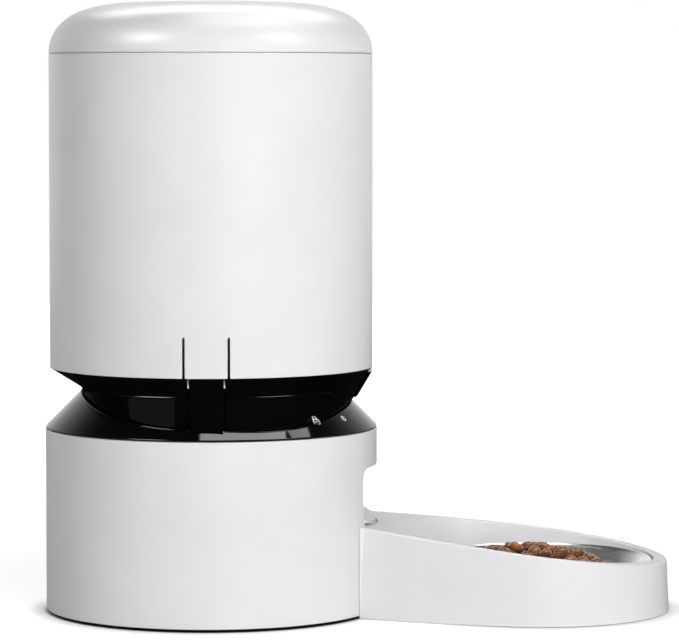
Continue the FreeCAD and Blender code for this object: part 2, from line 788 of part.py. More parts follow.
def collar_solid():
    waist = oval(waist_half_x, waist_half_y, hopper_floor_z, collar_edge_z + 0.5)
    fascia = taper(fascia_z, collar_edge_z).common(
        sector(fascia_half_angle, 0, base_radius, fascia_z, collar_edge_z))
    return joined([taper(collar_edge_z, hopper_z), waist, fascia]).cut(finger_cut())


def arm_pocket(side):
    half = arm_half_width + arm_gap
    return block(tab_x - half, tab_x + half, side * pocket_y, side * (base_radius + 5),
                 hopper_floor_z - 1, hopper_z + 20)


def hopper_collar():
    slant = wall / math.cos(math.radians(collar_slope))
    solid = collar_solid()
    hollow = joined([taper(collar_edge_z + wall, hopper_z + 1, slant),
                     oval(waist_half_x - wall, waist_half_y - wall, chamber_z, collar_edge_z + wall + 0.5)])
    hollow = hollow.cut(finger_cut(slant))
    spigot_z = hopper_z - 4.0
    spigot = tube(hopper_inside - body_gap, hopper_inside - body_gap - wall, spigot_z, hopper_z + 12)
    half = tab_half_width + slit_width + 1.5
    back = sector(finger_half_angle + 3, 180, base_radius, spigot_z - 1, hopper_z)
    spigot = less(spigot, [block(tab_x - half, tab_x + half, -base_radius, base_radius, hopper_z - 5,
                                 hopper_z + 20), back])
    guards = []
    for side in (-1, 1):
        half_guard = arm_half_width + arm_gap + wall
        guard = block(tab_x - half_guard, tab_x + half_guard, side * (pocket_y - wall),
                      side * (base_radius + 5), hopper_floor_z, hopper_z)
        guards.append(guard.common(solid))
    collar = joined([solid.cut(hollow), spigot] + guards)
    cuts = [arm_pocket(-1), arm_pocket(1), outlet_hole(hopper_floor_z - 1, chamber_z + 1),
            cylinder(hex_radius + 1.6, hopper_floor_z - 1, chamber_z + 1)]
    return less(collar, cuts)


def tab_window(side):
    half = tab_half_width + slit_width
    return block(tab_x - half, tab_x + half, 0, side * (base_radius + 5), hopper_z - 1, tab_top_z)


def hopper_shell():
    shell = tube(hopper_radius, hopper_inside, hopper_z, lid_z - seam)
    return less(shell, [tab_window(-1), tab_window(1)])


def front_badge():
    slant = badge_thickness / math.cos(math.radians(collar_slope))
    plate = taper(badge_low_z, badge_high_z, -slant).cut(taper(badge_low_z, badge_high_z))
    return plate.common(sector(badge_half_angle, 0, base_radius + 5, badge_low_z, badge_high_z))


def funnel():
    top_z = funnel_z + funnel_rise
    top_radius = hopper_inside - body_gap
    outer = chamber_radius + thin_wall
    return spun([(chamber_radius, chamber_z), (outer, chamber_z), (outer, funnel_z - 1.0),
                 (top_radius, top_z - 2.0), (top_radius, top_z), (top_radius - thin_wall, top_z),
                 (chamber_radius, funnel_z)])


def outlet_shield():
    z0 = chamber_z + chamber_height
    plate = tube(chamber_radius, hub_radius + 2.0, z0, z0 + thin_wall)
    return plate.common(sector(shield_half_angle, 0, chamber_radius + 1, z0, z0 + thin_wall))


def release_tab(side):
    half = tab_half_width
    skin = tube(hopper_radius, hopper_inside, hopper_z, tab_top_z - seam)
    return skin.common(block(tab_x - half, tab_x + half, 0, side * (base_radius + 5), hopper_z, tab_top_z))


def latch_arm(side):
    reach = base_radius + 5
    half = arm_half_width
    strip = block(tab_x - half, tab_x + half, 0, side * reach, arm_low_z, hopper_z + 21)
    slant = arm_thickness / math.cos(math.radians(collar_slope))
    upper = tube(hopper_inside, hopper_inside - arm_thickness, hopper_z - 2, hopper_z + 21)
    middle = taper(collar_edge_z, hopper_z).cut(taper(collar_edge_z - 1, hopper_z + 1, slant))
    lower = tube(arm_radius, arm_radius - arm_thickness, arm_low_z, collar_edge_z + 1)
    upper = upper.common(strip)
    body = joined([upper, middle.common(strip), lower.common(strip)])
    tip = well_half_y + hook_reach
    hook = side_prism([(arm_radius - 1.5, arm_low_z + 0.5), (tip - 2.5, arm_low_z + 0.5), (tip, hook_z - 2),
                       (tip, hook_z), (arm_radius - 1.5, hook_z)],
                      tab_x - hook_half_width, tab_x + hook_half_width, side)
    return joined([body, hook])


# ---- Feed rotor ----
def feed_rotor():
    top_z = rotor_z + vane_height
    hub = cylinder(hub_radius, rotor_z, chamber_z + chamber_height + thin_wall + 1)
    vanes = []
    reach = chamber_radius - wiper_overlap
    for number in range(vane_count):
        vane = block(hub_radius - 2, reach, -vane_thickness / 2, vane_thickness / 2, rotor_z, top_z)
        vanes.append(turned(vane, (number + 0.5) * 360 / vane_count))
    socket = hexagon(hex_flats + 2 * body_gap, rotor_z - 1, floor_top_z + hex_height + 1.5)
    return joined([hub] + vanes).cut(socket)


def rotor_wipers():
    wipers = []
    top_z = rotor_z + vane_height
    for number in range(vane_count):
        wiper = block(chamber_radius - wiper_overlap, chamber_radius - 0.8, -wiper_thickness / 2,
                      wiper_thickness / 2, rotor_z, top_z)
        wipers.append(turned(wiper, (number + 0.5) * 360 / vane_count))
    return Part.makeCompound(wipers)


def stirrer():
    low = chamber_z + chamber_height + thin_wall + 1
    bar_z = low + stirrer_height - stirrer_radius - 1
    post = cylinder(hub_radius - 5, low, low + stirrer_height)
    bar = rod(stirrer_radius, Vector(-stirrer_reach, 0, bar_z), Vector(stirrer_reach, 0, bar_z))
    fingers = [cylinder(stirrer_radius - 0.3, bar_z, bar_z + 10, side * (stirrer_reach - 4)) for side in (-1, 1)]
    return joined([post, bar] + fingers)


# ---- Lid ----
def dome_curve(radius, height, z0):
    points = []
    for step in range(15):
        angle = math.radians(90 * step / 14)
        points.append(Vector(radius * math.cos(angle) ** 0.4, 0, z0 + height * math.sin(angle)))
    points[-1] = Vector(0, 0, z0 + height)
    curve = Part.BSplineCurve()
    curve.interpolate(points)
    return curve.toShape(), points[0], points[-1]


def lid_shell():
    outer, outer_low, outer_top = dome_curve(hopper_radius, dome_height, lid_z)
    inner, inner_low, inner_top = dome_curve(hopper_inside, dome_height - wall, lid_z)
    wire = Part.Wire([outer, Part.makeLine(outer_top, inner_top), inner, Part.makeLine(inner_low, outer_low)])
    return Part.Face(wire).revolve(Vector(), Vector(0, 0, 1), 360)


def lid_cap():
    z1 = lid_z + dome_height
    dome = lid_shell().fuse(cylinder(cap_radius - 1, lid_z, z1 - 1))
    return cylinder(cap_radius, z1 - 1, z1 + cap_height).cut(dome)


def lid_liner():
    radius = hopper_inside - 2 * body_gap
    outer = radius - seal_thickness / 2
    disc_z = lid_z + 0.6
    liner = spun([(desiccant_radius, disc_z), (outer - wall, disc_z), (outer - wall, lid_z - skirt_depth),
                  (outer, lid_z - skirt_depth), (outer, disc_z), (radius, disc_z), (radius, disc_z + wall),
                  (desiccant_radius, disc_z + wall)])
    groove_z = lid_z - skirt_depth / 2
    return liner.cut(tube(outer + 1, outer - 1.0, groove_z - 1.5, groove_z + 1.5))


def lid_seal():
    outer = hopper_inside - body_gap
    inside = hopper_inside - 2 * body_gap - seal_thickness / 2 - 1.0
    groove_z = lid_z - skirt_depth / 2
    return spun([(inside, groove_z - 1.5), (inside + 1.0, groove_z - 1.5), (outer, groove_z - 0.4),
                 (outer, groove_z + 0.4), (inside + 1.0, groove_z + 1.5), (inside, groove_z + 1.5)])


def desiccant_box():
    top_z = lid_z + 0.6 + wall
    low_z = top_z - desiccant_depth
    cup = tube(desiccant_radius, desiccant_radius - thin_wall, low_z, top_z - thin_wall)
    return joined([cup, cylinder(desiccant_radius, top_z - thin_wall, top_z)])


def desiccant_bag():
    top_z = lid_z + 0.6 + wall - thin_wall - 1.0
    low_z = lid_z + 0.6 + wall - desiccant_depth + 1.5
    radius = desiccant_radius - thin_wall - 2.0
    middle = (top_z + low_z) / 2
    return spun([(0, low_z), (radius - 5, low_z), (radius, middle), (radius - 5, top_z), (0, top_z)])


def desiccant_cover():
    top_z = lid_z + 0.6 + wall - desiccant_depth - body_gap
    cover = cylinder(desiccant_radius + 0.8, top_z - thin_wall, top_z)
    grip = block(-12, 12, -1.2, 1.2, top_z - thin_wall - 3, top_z)
    holes = [cylinder(2.0, top_z - 5, top_z + 1, *polar(ring, angle))
             for ring in (11.0, 19.0) for angle in range(30, 360, 60)]
    return less(joined([cover, grip]), holes)


# ---- Tray and bowl ----
def side_centre(sign):
    angle = math.radians(tray_tangent)
    step = tray_end_radius - tray_side_radius
    return Vector(bowl_x - step * math.sin(angle), sign * step * math.cos(angle), 0)


def tray_wire(inset, z):
    """The tray seen from above: a round end and two long side arcs that run in to the base."""
    angle = math.radians(tray_tangent)
    end = tray_end_radius - inset
    side = tray_side_radius - inset
    back_x = base_radius * 0.7

    def on_side(x, sign):
        centre = side_centre(sign)
        return Vector(x, centre.y + sign * math.sqrt(side ** 2 - (x - centre.x) ** 2), z)

    def on_end(degrees):
        turn = math.radians(degrees)
        return Vector(bowl_x + end * math.cos(turn), end * math.sin(turn), z)

    corner = 90 + tray_tangent
    left, right = on_end(corner), on_end(-corner)
    middle_x = (back_x + left.x) / 2
    edges = [Part.Arc(on_side(back_x, 1), on_side(middle_x, 1), left).toShape(),
             Part.Arc(left, on_end(0), right).toShape(),
             Part.Arc(right, on_side(middle_x, -1), on_side(back_x, -1)).toShape(),
             Part.makeLine(on_side(back_x, -1), on_side(back_x, 1))]
    return Part.Wire(edges)


def tray_body(inset):
    top_z = rim_back_z + 10
    lean = (top_z - tray_bottom_z) * math.tan(math.radians(tray_draft))
    return Part.makeLoft([tray_wire(inset, tray_bottom_z), tray_wire(inset + lean, top_z)], True, True)


def rim_height(x):
    return rim_back_z - rim_slope * (x - base_radius)


def above_rim(drop=0.0):
    space = Part.makeBox(800, 400, 200, Vector(-200, -200, 0))
    space.rotate(Vector(), Vector(0, 1, 0), math.degrees(math.atan(rim_slope)))
    space.translate(Vector(base_radius, 0, rim_back_z - drop))
    return space


def outline_reach(turn):
    """Distance from the bowl's centre to the tray's bottom outline, in the direction turn."""
    if abs(turn) <= math.radians(90 + tray_tangent):
        return tray_end_radius
    centre = side_centre(math.copysign(1, turn))
    away = Vector(bowl_x, 0, 0).sub(centre)
    along = away.x * math.cos(turn) + away.y * math.sin(turn)
    return -along + math.sqrt(along ** 2 - away.Length ** 2 + tray_side_radius ** 2)


def rim_reach(turn):
    """Inner edge of the rim: a wall inside the outline, blended into the round top of the slide."""
    thick = rim_wall + (rim_end_wall - rim_wall) * ((1 + math.cos(turn)) / 2) ** 3
    lean = (rim_height(bowl_x + tray_end_radius * math.cos(turn)) - tray_bottom_z)
    inside = outline_reach(turn) - thick - lean * math.tan(math.radians(tray_draft))
    return (inside ** -16 + slide_radius ** -16) ** (-1 / 16)


def slide_tool(floor_z, grow=0.0):
    """The bowl's pocket, and the space above it that widens up to the rim."""
    low, high = [], []
    for step in range(48):
        turn = math.pi * (2 * step / 48 - 1)
        reach = rim_reach(turn) + grow
        x = bowl_x + reach * math.cos(turn)
        high.append(Vector(x, reach * math.sin(turn), rim_height(x)))
        low.append(Vector(bowl_x + (pocket_radius + grow) * math.cos(turn),
                          (pocket_radius + grow) * math.sin(turn), pocket_top_z - grow))
    upper, lower = closed_curve(high), closed_curve(low)
    slide = Part.makeLoft([lower, upper], True, True)
    mouth = Part.Face(upper).extrude(Vector(0, 0, 40))
    pocket = Part.Face(lower).extrude(Vector(0, 0, floor_z - pocket_top_z + grow))
    return slide.fuse(mouth).fuse(pocket)


def food_tray():
    back = cylinder(base_radius + body_gap + slip, 0, 200)
    tray = less(tray_body(0.0), [above_rim(), back, slide_tool(tray_bottom_z + tray_floor)])
    inside = cylinder(base_radius + body_gap + slip + wall, 0, 200)
    hollow = less(tray_body(wall), [above_rim(wall), inside, slide_tool(0, wall)])
    tongues = [tongue(base_radius - tongue_length, base_radius + 2, side) for side in (-1, 1)]
    tray = tray.cut(hollow)
    for piece in tongues:
        tray = tray.fuse(piece)
    return tray


def tray_pads():
    return Part.makeCompound([cylinder(pad_radius, 0, tray_bottom_z, bowl_x + x, y)
                              for x, y in (polar(pad_ring, angle) for angle in foot_angles)])


def steel_bowl():
    t = bowl_thickness
    low_z = tray_bottom_z + tray_floor + body_gap
    rim_x = bowl_radius - rim_roll
    rim_z = bowl_rim_z - rim_roll
    outer = spun([(0, low_z), (rim_x - 13.6, low_z), (rim_x - 8.0, low_z + 3.6), (rim_x + t / 2, rim_z),
                  (0, rim_z)])
    inner = spun([(0, low_z + t), (rim_x - 13.9, low_z + t), (rim_x - 8.8, low_z + 4.1),
                  (rim_x - t / 2, rim_z), (rim_x - t / 2, rim_z + 1), (0, rim_z + 1)])
    roll = Part.makeTorus(rim_x, rim_roll, Vector(0, 0, rim_z))
    bowl = outer.cut(inner).fuse(roll)
    bowl.translate(Vector(bowl_x, 0, 0))
    return bowl


# ---- The whole feeder ----
pieces = {
    "base_shell": base_shell(), "base_plate": base_plate(), "rubber_feet": rubber_feet(),
    "base_screws": base_screws(), "control_deck": control_deck(), "deck_screws": deck_screws(),
    "display_window": screen_region(screen_thickness), "touch_board": touch_board(),
    "food_chute": food_chute(), "jam_sensors": jam_sensors(), "battery_bay": battery_bay(),
    "battery_cells": battery_cells(), "battery_contacts": battery_contacts(),
    "battery_door": battery_door(), "power_inlet": power_inlet(), "main_board": board(),
    "board_components": board_components(), "gearbox_case": gearbox_case(),
    "gearbox_cover": gearbox_cover(), "gearbox_screws": gearbox_screws(), "motor_can": motor_can(),
    "motor_gearhead": motor_gearhead(), "motor_armature": motor_armature(),
    "motor_shaft": motor_shaft(), "motor_pinion": motor_pinion(), "idler_axle": idler_axle(),
    "idler_gear": idler_gear(), "output_gear": output_gear(), "drive_shaft": drive_shaft(),
    "output_bushing": output_bushing(), "hopper_shell": hopper_shell(),
    "hopper_collar": hopper_collar(), "front_badge": front_badge(), "hopper_funnel": funnel(),
    "outlet_shield": outlet_shield(), "feed_rotor": feed_rotor(), "rotor_wipers": rotor_wipers(),
    "stirrer": stirrer(), "lid_shell": lid_shell(), "lid_cap": lid_cap(), "lid_liner": lid_liner(),
    "lid_seal": lid_seal(), "desiccant_box": desiccant_box(), "desiccant_bag": desiccant_bag(),
    "desiccant_cover": desiccant_cover(), "food_tray": food_tray(), "tray_pads": tray_pads(),
    "steel_bowl": steel_bowl(),
}
for name, side in (("right", -1), ("left", 1)):
    pieces["release_tab_" + name] = release_tab(side)
    pieces["latch_arm_" + name] = latch_arm(side)

os.makedirs("parts", exist_ok=True)
for name, shape in pieces.items():
    shape.translate(Vector(axis_x, 0, 0))
    shape.exportStep("parts/" + name + ".step")
    print(name, len(shape.Solids), "solids", round(shape.Volume / 1000, 2), "cm3", shape.isValid())
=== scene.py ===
import bmesh
import bpy
import math
from mathutils import Matrix, Vector


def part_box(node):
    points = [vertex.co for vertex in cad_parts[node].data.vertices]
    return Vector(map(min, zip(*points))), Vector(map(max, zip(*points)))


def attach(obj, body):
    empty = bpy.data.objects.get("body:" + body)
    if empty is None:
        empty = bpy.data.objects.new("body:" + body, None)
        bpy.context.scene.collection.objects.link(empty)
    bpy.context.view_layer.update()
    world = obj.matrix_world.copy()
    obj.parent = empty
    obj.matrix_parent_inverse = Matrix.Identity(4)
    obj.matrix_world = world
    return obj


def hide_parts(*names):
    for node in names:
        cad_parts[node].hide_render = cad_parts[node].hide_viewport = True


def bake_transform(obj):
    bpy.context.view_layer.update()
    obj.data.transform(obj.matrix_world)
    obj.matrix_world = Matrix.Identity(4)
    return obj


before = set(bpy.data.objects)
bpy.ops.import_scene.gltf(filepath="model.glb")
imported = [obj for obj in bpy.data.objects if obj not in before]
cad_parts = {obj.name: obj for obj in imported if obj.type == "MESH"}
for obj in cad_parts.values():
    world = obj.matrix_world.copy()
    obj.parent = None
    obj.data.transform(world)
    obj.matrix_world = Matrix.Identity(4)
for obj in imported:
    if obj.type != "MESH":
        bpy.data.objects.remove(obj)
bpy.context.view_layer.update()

mm = 0.001
scene = bpy.context.scene
print("frame loaded:", len(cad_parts), "nodes")

# places shared by many pieces, read from the frame
baseLow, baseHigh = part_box("base_shell")
hopperLow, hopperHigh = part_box("hopper_shell")
collarLow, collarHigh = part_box("hopper_collar")
trayLow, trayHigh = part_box("food_tray")
bowlLow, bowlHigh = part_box("steel_bowl")
axisX = (hopperLow.x + hopperHigh.x) / 2
bowlX = (bowlLow.x + bowlHigh.x) / 2
baseRadius = (baseHigh.x - baseLow.x) / 2
hopperRadius = (hopperHigh.x - hopperLow.x) / 2
wall = 2.4 * mm
ovalPower = 2.2    # squareness of the well and of the waist that sits in it


def plug(tree, node, values):
    # values are numbers, sockets to link from, or nodes, whose first socket is linked
    for key, value in values.items():
        if isinstance(value, bpy.types.Node):
            value = value.outputs[0]
        if isinstance(value, bpy.types.NodeSocket):
            tree.links.new(value, node.inputs[key])
        else:
            node.inputs[key].default_value = value
    return node


def addNode(tree, kind, values=None, **settings):
    # one node with its settings and links
    node = tree.nodes.new(kind)
    for name, value in settings.items():
        setattr(node, name, value)
    return plug(tree, node, values or {})


def linearColour(hexCode):
    # sRGB hex to the linear colour that the shader wants
    parts = [int(hexCode[i:i + 2], 16) / 255 for i in (1, 3, 5)]
    return [c / 12.92 if c <= 0.04045 else ((c + 0.055) / 1.055) ** 2.4 for c in parts] + [1.0]


def newMesh(name, points, faces=(), edges=()):
    mesh = bpy.data.meshes.new(name)
    mesh.from_pydata([tuple(p) for p in points], list(edges), list(faces))
    mesh.validate()
    obj = bpy.data.objects.new(name, mesh)
    scene.collection.objects.link(obj)
    return obj


def settle(obj):
    # the evaluated shape becomes a plain mesh and the modifiers go
    mesh = bpy.data.meshes.new_from_object(obj.evaluated_get(bpy.context.evaluated_depsgraph_get()))
    mesh.name = obj.name
    obj.modifiers.clear()
    obj.data = mesh
    return obj


def tidyMesh(obj, distance=0.002 * mm):
    # doubles merged, loose bits dropped, normals outwards
    work = bmesh.new()
    work.from_mesh(obj.data)
    bmesh.ops.remove_doubles(work, verts=work.verts, dist=distance)
    bmesh.ops.dissolve_degenerate(work, edges=work.edges, dist=distance / 2)
    bmesh.ops.recalc_face_normals(work, faces=work.faces)
    work.to_mesh(obj.data)
    work.free()
    return obj


def combine(obj, others, how):
    # boolean with each of the others, which are used up
    for other in others:
        cut = obj.modifiers.new("cut", "BOOLEAN")
        cut.operation = how
        cut.solver = "EXACT"
        cut.object = other
    settle(obj)
    for other in others:
        bpy.data.objects.remove(other)
    return tidyMesh(obj)


def mergeInto(obj, others):
    # the others' meshes join this one, and the others go
    work = bmesh.new()
    for piece in [obj] + others:
        work.from_mesh(piece.data)
    work.to_mesh(obj.data)
    work.free()
    for other in others:
        bpy.data.objects.remove(other)


def easeEdges(obj, width, angle=35, steps=3):
    # small rounds on the sharp edges, then even shading
    bevel = obj.modifiers.new("ease", "BEVEL")
    bevel.width = width
    bevel.segments = steps
    bevel.limit_method = "ANGLE"
    bevel.angle_limit = math.radians(angle)
    bevel.use_clamp_overlap = True
    for face in obj.data.polygons:
        face.use_smooth = True
    weigh = obj.modifiers.new("weigh", "WEIGHTED_NORMAL")
    weigh.keep_sharp = True
    return settle(obj)


def smoothShade(obj, angle=40):
    obj.data.shade_smooth()
    obj.data.set_sharp_from_angle(angle=math.radians(angle))
    return obj


def finishPiece(obj, material, body, stands=()):
    obj.data.materials.clear()
    obj.data.materials.append(material)
    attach(obj, body)
    if stands:
        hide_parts(*stands)
    return obj


def rounded(corners, closed=True):
    # corners are (radius, z, fillet); returns the outline with its corners rounded
    points = []
    count = len(corners)
    for i, (r, z, fillet) in enumerate(corners):
        here = Vector((r, z))
        if fillet <= 0 or (not closed and i in (0, count - 1)):
            points.append((r, z))
            continue
        before = Vector(corners[i - 1][:2]) - here
        after = Vector(corners[(i + 1) % count][:2]) - here
        half = before.angle(after) / 2
        reach = min(fillet / math.tan(half), before.length * 0.49, after.length * 0.49)
        radius = reach * math.tan(half)
        centre = here + (before.normalized() + after.normalized()).normalized() * (radius / math.sin(half))
        start = here + before.normalized() * reach - centre
        turn = start.angle_signed(here + after.normalized() * reach - centre)
        steps = max(2, round(abs(turn) / math.radians(18)))
        for k in range(steps + 1):
            swing = Matrix.Rotation(-turn * k / steps, 2) @ start
            points.append(tuple(centre + swing))
    if closed:
        points.append(points[0])
    return points


# turned shapes
def makeLatheTree():
    # turns the profile's points about an upright axis: one row of the grid for each point
    tree = bpy.data.node_groups.new("lathe", "GeometryNodeTree")
    face = tree.interface
    face.new_socket("Geometry", in_out="OUTPUT", socket_type="NodeSocketGeometry")
    for name, kind in (("Profile", "NodeSocketObject"), ("Segments", "NodeSocketInt"),
                       ("Centre X", "NodeSocketFloat"), ("Finish", "NodeSocketMaterial")):
        face.new_socket(name, in_out="INPUT", socket_type=kind)
    given = addNode(tree, "NodeGroupInput")
    profile = addNode(tree, "GeometryNodeObjectInfo", {"Object": given.outputs["Profile"]})
    rows = addNode(tree, "GeometryNodeAttributeDomainSize", {"Geometry": profile.outputs["Geometry"]})
    columns = addNode(tree, "ShaderNodeMath", {0: given.outputs["Segments"], 1: 1.0}, operation="ADD")
    grid = addNode(tree, "GeometryNodeMeshGrid",
                   {"Size X": 1.0, "Size Y": 1.0, "Vertices X": rows.outputs["Point Count"],
                    "Vertices Y": columns})
    index = addNode(tree, "GeometryNodeInputIndex")
    share = addNode(tree, "ShaderNodeMath", {0: index, 1: columns}, operation="DIVIDE")
    row = addNode(tree, "ShaderNodeMath", {0: share}, operation="FLOOR")
    column = addNode(tree, "ShaderNodeMath", {0: index, 1: columns}, operation="MODULO")
    place = addNode(tree, "GeometryNodeInputPosition")
    point = addNode(tree, "GeometryNodeSampleIndex", {"Geometry": profile.outputs["Geometry"],
                                                      "Value": place, "Index": row},
                    data_type="FLOAT_VECTOR", domain="POINT")
    parts = addNode(tree, "ShaderNodeSeparateXYZ", {0: point})
    whole = addNode(tree, "ShaderNodeMath", {0: column, 1: math.tau}, operation="MULTIPLY")
    angle = addNode(tree, "ShaderNodeMath", {0: whole, 1: given.outputs["Segments"]},
                    operation="DIVIDE")
    cosine = addNode(tree, "ShaderNodeMath", {0: angle}, operation="COSINE")
    sine = addNode(tree, "ShaderNodeMath", {0: angle}, operation="SINE")
    across = addNode(tree, "ShaderNodeMath", {0: parts.outputs["X"], 1: cosine,
                                              2: given.outputs["Centre X"]}, operation="MULTIPLY_ADD")
    along = addNode(tree, "ShaderNodeMath", {0: parts.outputs["X"], 1: sine}, operation="MULTIPLY")
    spot = addNode(tree, "ShaderNodeCombineXYZ", {"X": across, "Y": along,
                                                  "Z": parts.outputs["Z"]})
    moved = addNode(tree, "GeometryNodeSetPosition",
                    {"Geometry": grid.outputs["Mesh"], "Position": spot})
    merged = addNode(tree, "GeometryNodeMergeByDistance", {"Geometry": moved, "Distance": 0.001 * mm})
    real = addNode(tree, "GeometryNodeRealizeInstances", {"Geometry": merged})
    painted = addNode(tree, "GeometryNodeSetMaterial", {"Geometry": real,
                                                        "Material": given.outputs["Finish"]})
    addNode(tree, "NodeGroupOutput", {"Geometry": painted})
    return tree


def setInput(modifier, name, value):
    # a modifier's input is known by its socket's identifier
    for item in modifier.node_group.interface.items_tree:
        if item.item_type == "SOCKET" and item.in_out == "INPUT" and item.name == name:
            modifier[item.identifier] = value


latheTree = makeLatheTree()


def turnedShape(name, outline, centreX, segments=240):
    # outline is a list of (radius, z); a closed outline repeats its first point
    profile = newMesh(name + "Profile", [(r, 0, z) for r, z in outline],
                      edges=[(i, i + 1) for i in range(len(outline) - 1)])
    obj = newMesh(name, [(0, 0, 0)])
    lathe = obj.modifiers.new("lathe", "NODES")
    lathe.node_group = latheTree
    setInput(lathe, "Profile", profile)
    setInput(lathe, "Segments", segments)
    setInput(lathe, "Centre X", centreX)
    settle(obj)
    bpy.data.objects.remove(profile)
    return tidyMesh(obj)


def drawnOut(name, first, last):
    # a prism between two like outlines
    count = len(first)
    sides = [(i, (i + 1) % count, count + (i + 1) % count, count + i) for i in range(count)]
    return newMesh(name, first + last, sides + [tuple(range(count))[::-1],
                                                tuple(range(count, 2 * count))])


def ovalPoint(turn, halfX, halfY):
    # a softly squared ellipse
    c, s = math.cos(turn), math.sin(turn)
    return (halfX * math.copysign(abs(c) ** (2 / ovalPower), c),
            halfY * math.copysign(abs(s) ** (2 / ovalPower), s))


def ovalPrism(name, halfX, halfY, low, high, shift, count=160):
    ring = [ovalPoint(math.tau * i / count, halfX, halfY) for i in range(count)]
    return drawnOut(name, *([(axisX + shift + x, y, z) for x, y in ring] for z in (low, high)))


def boxShape(name, low, high):
    points = [(x, y, z) for x in (low[0], high[0]) for y in (low[1], high[1])
              for z in (low[2], high[2])]
    faces = [(0, 1, 3, 2), (4, 6, 7, 5), (0, 4, 5, 1), (2, 3, 7, 6), (0, 2, 6, 4), (1, 5, 7, 3)]
    return tidyMesh(newMesh(name, points, faces))


def wedgeShape(middle, half, reach, top, steps=24):
    # a slice of cake about the hopper's axis, angles in degrees
    rim = [math.radians(middle - half + 2 * half * i / steps) for i in range(steps + 1)]
    flat = [(axisX, 0)] + [(axisX + reach * math.cos(a), reach * math.sin(a)) for a in rim]
    return drawnOut("slice", *([(x, y, z) for x, y in flat] for z in (0, top)))


def slotShape(middleX, half, low, high, nearY, farY, steps=12):
    # an upright slot along Y with a round top
    outline = [(middleX - half, low), (middleX + half, low)]
    outline += [(middleX + half * math.cos(math.pi * i / steps),
                 high - half + half * math.sin(math.pi * i / steps)) for i in range(steps + 1)]
    return tidyMesh(drawnOut("slit", *([(x, y, z) for x, z in outline] for y in (nearY, farY))))


def arcLine(x, y, radius, start, end, steps=20):
    return [(x + radius * math.cos(math.radians(start + (end - start) * i / steps)),
             y + radius * math.sin(math.radians(start + (end - start) * i / steps)))
            for i in range(steps + 1)]


def roundBox(halfX, low, high, corner, steps=5):
    line = []
    for x, y, start in ((halfX - corner, high - corner, 0), (corner - halfX, high - corner, 90),
                        (corner - halfX, low + corner, 180), (halfX - corner, low + corner, 270)):
        line += arcLine(x, y, corner, start, start + 90, steps)
    return line


# materials
def startMaterial(name, colour, roughness, metallic=0.0, ior=1.5, **more):
    material = bpy.data.materials.new(name)
    material.use_nodes = True
    tree = material.node_tree
    shader = tree.nodes["Principled BSDF"]
    plug(tree, shader, {"Base Color": linearColour(colour), "Roughness": roughness,
                        "Metallic": metallic})
    if not metallic:
        shader.inputs["IOR"].default_value = ior
    for key, value in more.items():
        shader.inputs[key.replace("_", " ")].default_value = value
    return material, tree, shader


def patternNoise(tree, sizeMm, detail=3.0, stretch=(1, 1, 1)):
    # noise on Object coordinates whose cells are about sizeMm wide
    coords = addNode(tree, "ShaderNodeTexCoord")
    scaled = addNode(tree, "ShaderNodeMapping", {"Vector": coords.outputs["Object"], "Scale": stretch})
    return addNode(tree, "ShaderNodeTexNoise", {"Vector": scaled, "Scale": 1 / (sizeMm * mm),
                                                "Detail": detail, "Roughness": 0.55})


def spread(tree, value, low, high):
    # most of a noise lies between 0.3 and 0.7: that part is stretched from low to high
    return addNode(tree, "ShaderNodeMapRange", {"Value": value, "From Min": 0.3, "From Max": 0.7,
                                                "To Min": low, "To Max": high})


def mixColours(tree, share, first, second):
    mix = addNode(tree, "ShaderNodeMix", data_type="RGBA")
    plug(tree, mix, {0: share, 6: linearColour(first), 7: linearColour(second)})
    return mix.outputs[2]


def paint(tree, shader, noise, first, second, smooth=None, matt=None):
    # colour, and roughness where given, that follow a noise
    plug(tree, shader, {"Base Color": mixColours(tree, spread(tree, noise, 0, 1), first, second)})
    if matt:
        plug(tree, shader, {"Roughness": spread(tree, noise, smooth, matt)})


def bumpInto(tree, shader, height, depthMm, strength=1.0):
    bump = addNode(tree, "ShaderNodeBump", {"Height": height, "Distance": depthMm * mm,
                                            "Strength": strength})
    plug(tree, shader, {"Normal": bump})


def mouldedPlastic(name, colour, deep, roughness, grainMm, depthMm, **more):
    # injection-moulded part: even colour with a faint drift, and the fine spark-eroded grain of the tool
    material, tree, shader = startMaterial(name, colour, roughness, **more)
    drift, grain = patternNoise(tree, 45.0, 2.0), patternNoise(tree, grainMm, 2.0)
    paint(tree, shader, drift, colour, deep)
    plug(tree, shader, {"Roughness": spread(tree, grain, roughness - 0.04, roughness + 0.05)})
    bumpInto(tree, shader, grain, depthMm)
    return material


def pianoBlackAbs():
    # polished black ABS: near-mirror skin that shows the lamps, with the slight waviness of a thin moulding
    material, tree, shader = startMaterial("pianoBlackAbsMoulded", "#060607", 0.04, ior=1.52)
    wave, haze = patternNoise(tree, 30.0, 1.0), patternNoise(tree, 3.0, 4.0)
    plug(tree, shader, {"Roughness": spread(tree, haze, 0.03, 0.075)})
    bumpInto(tree, shader, wave, 0.02)
    return material


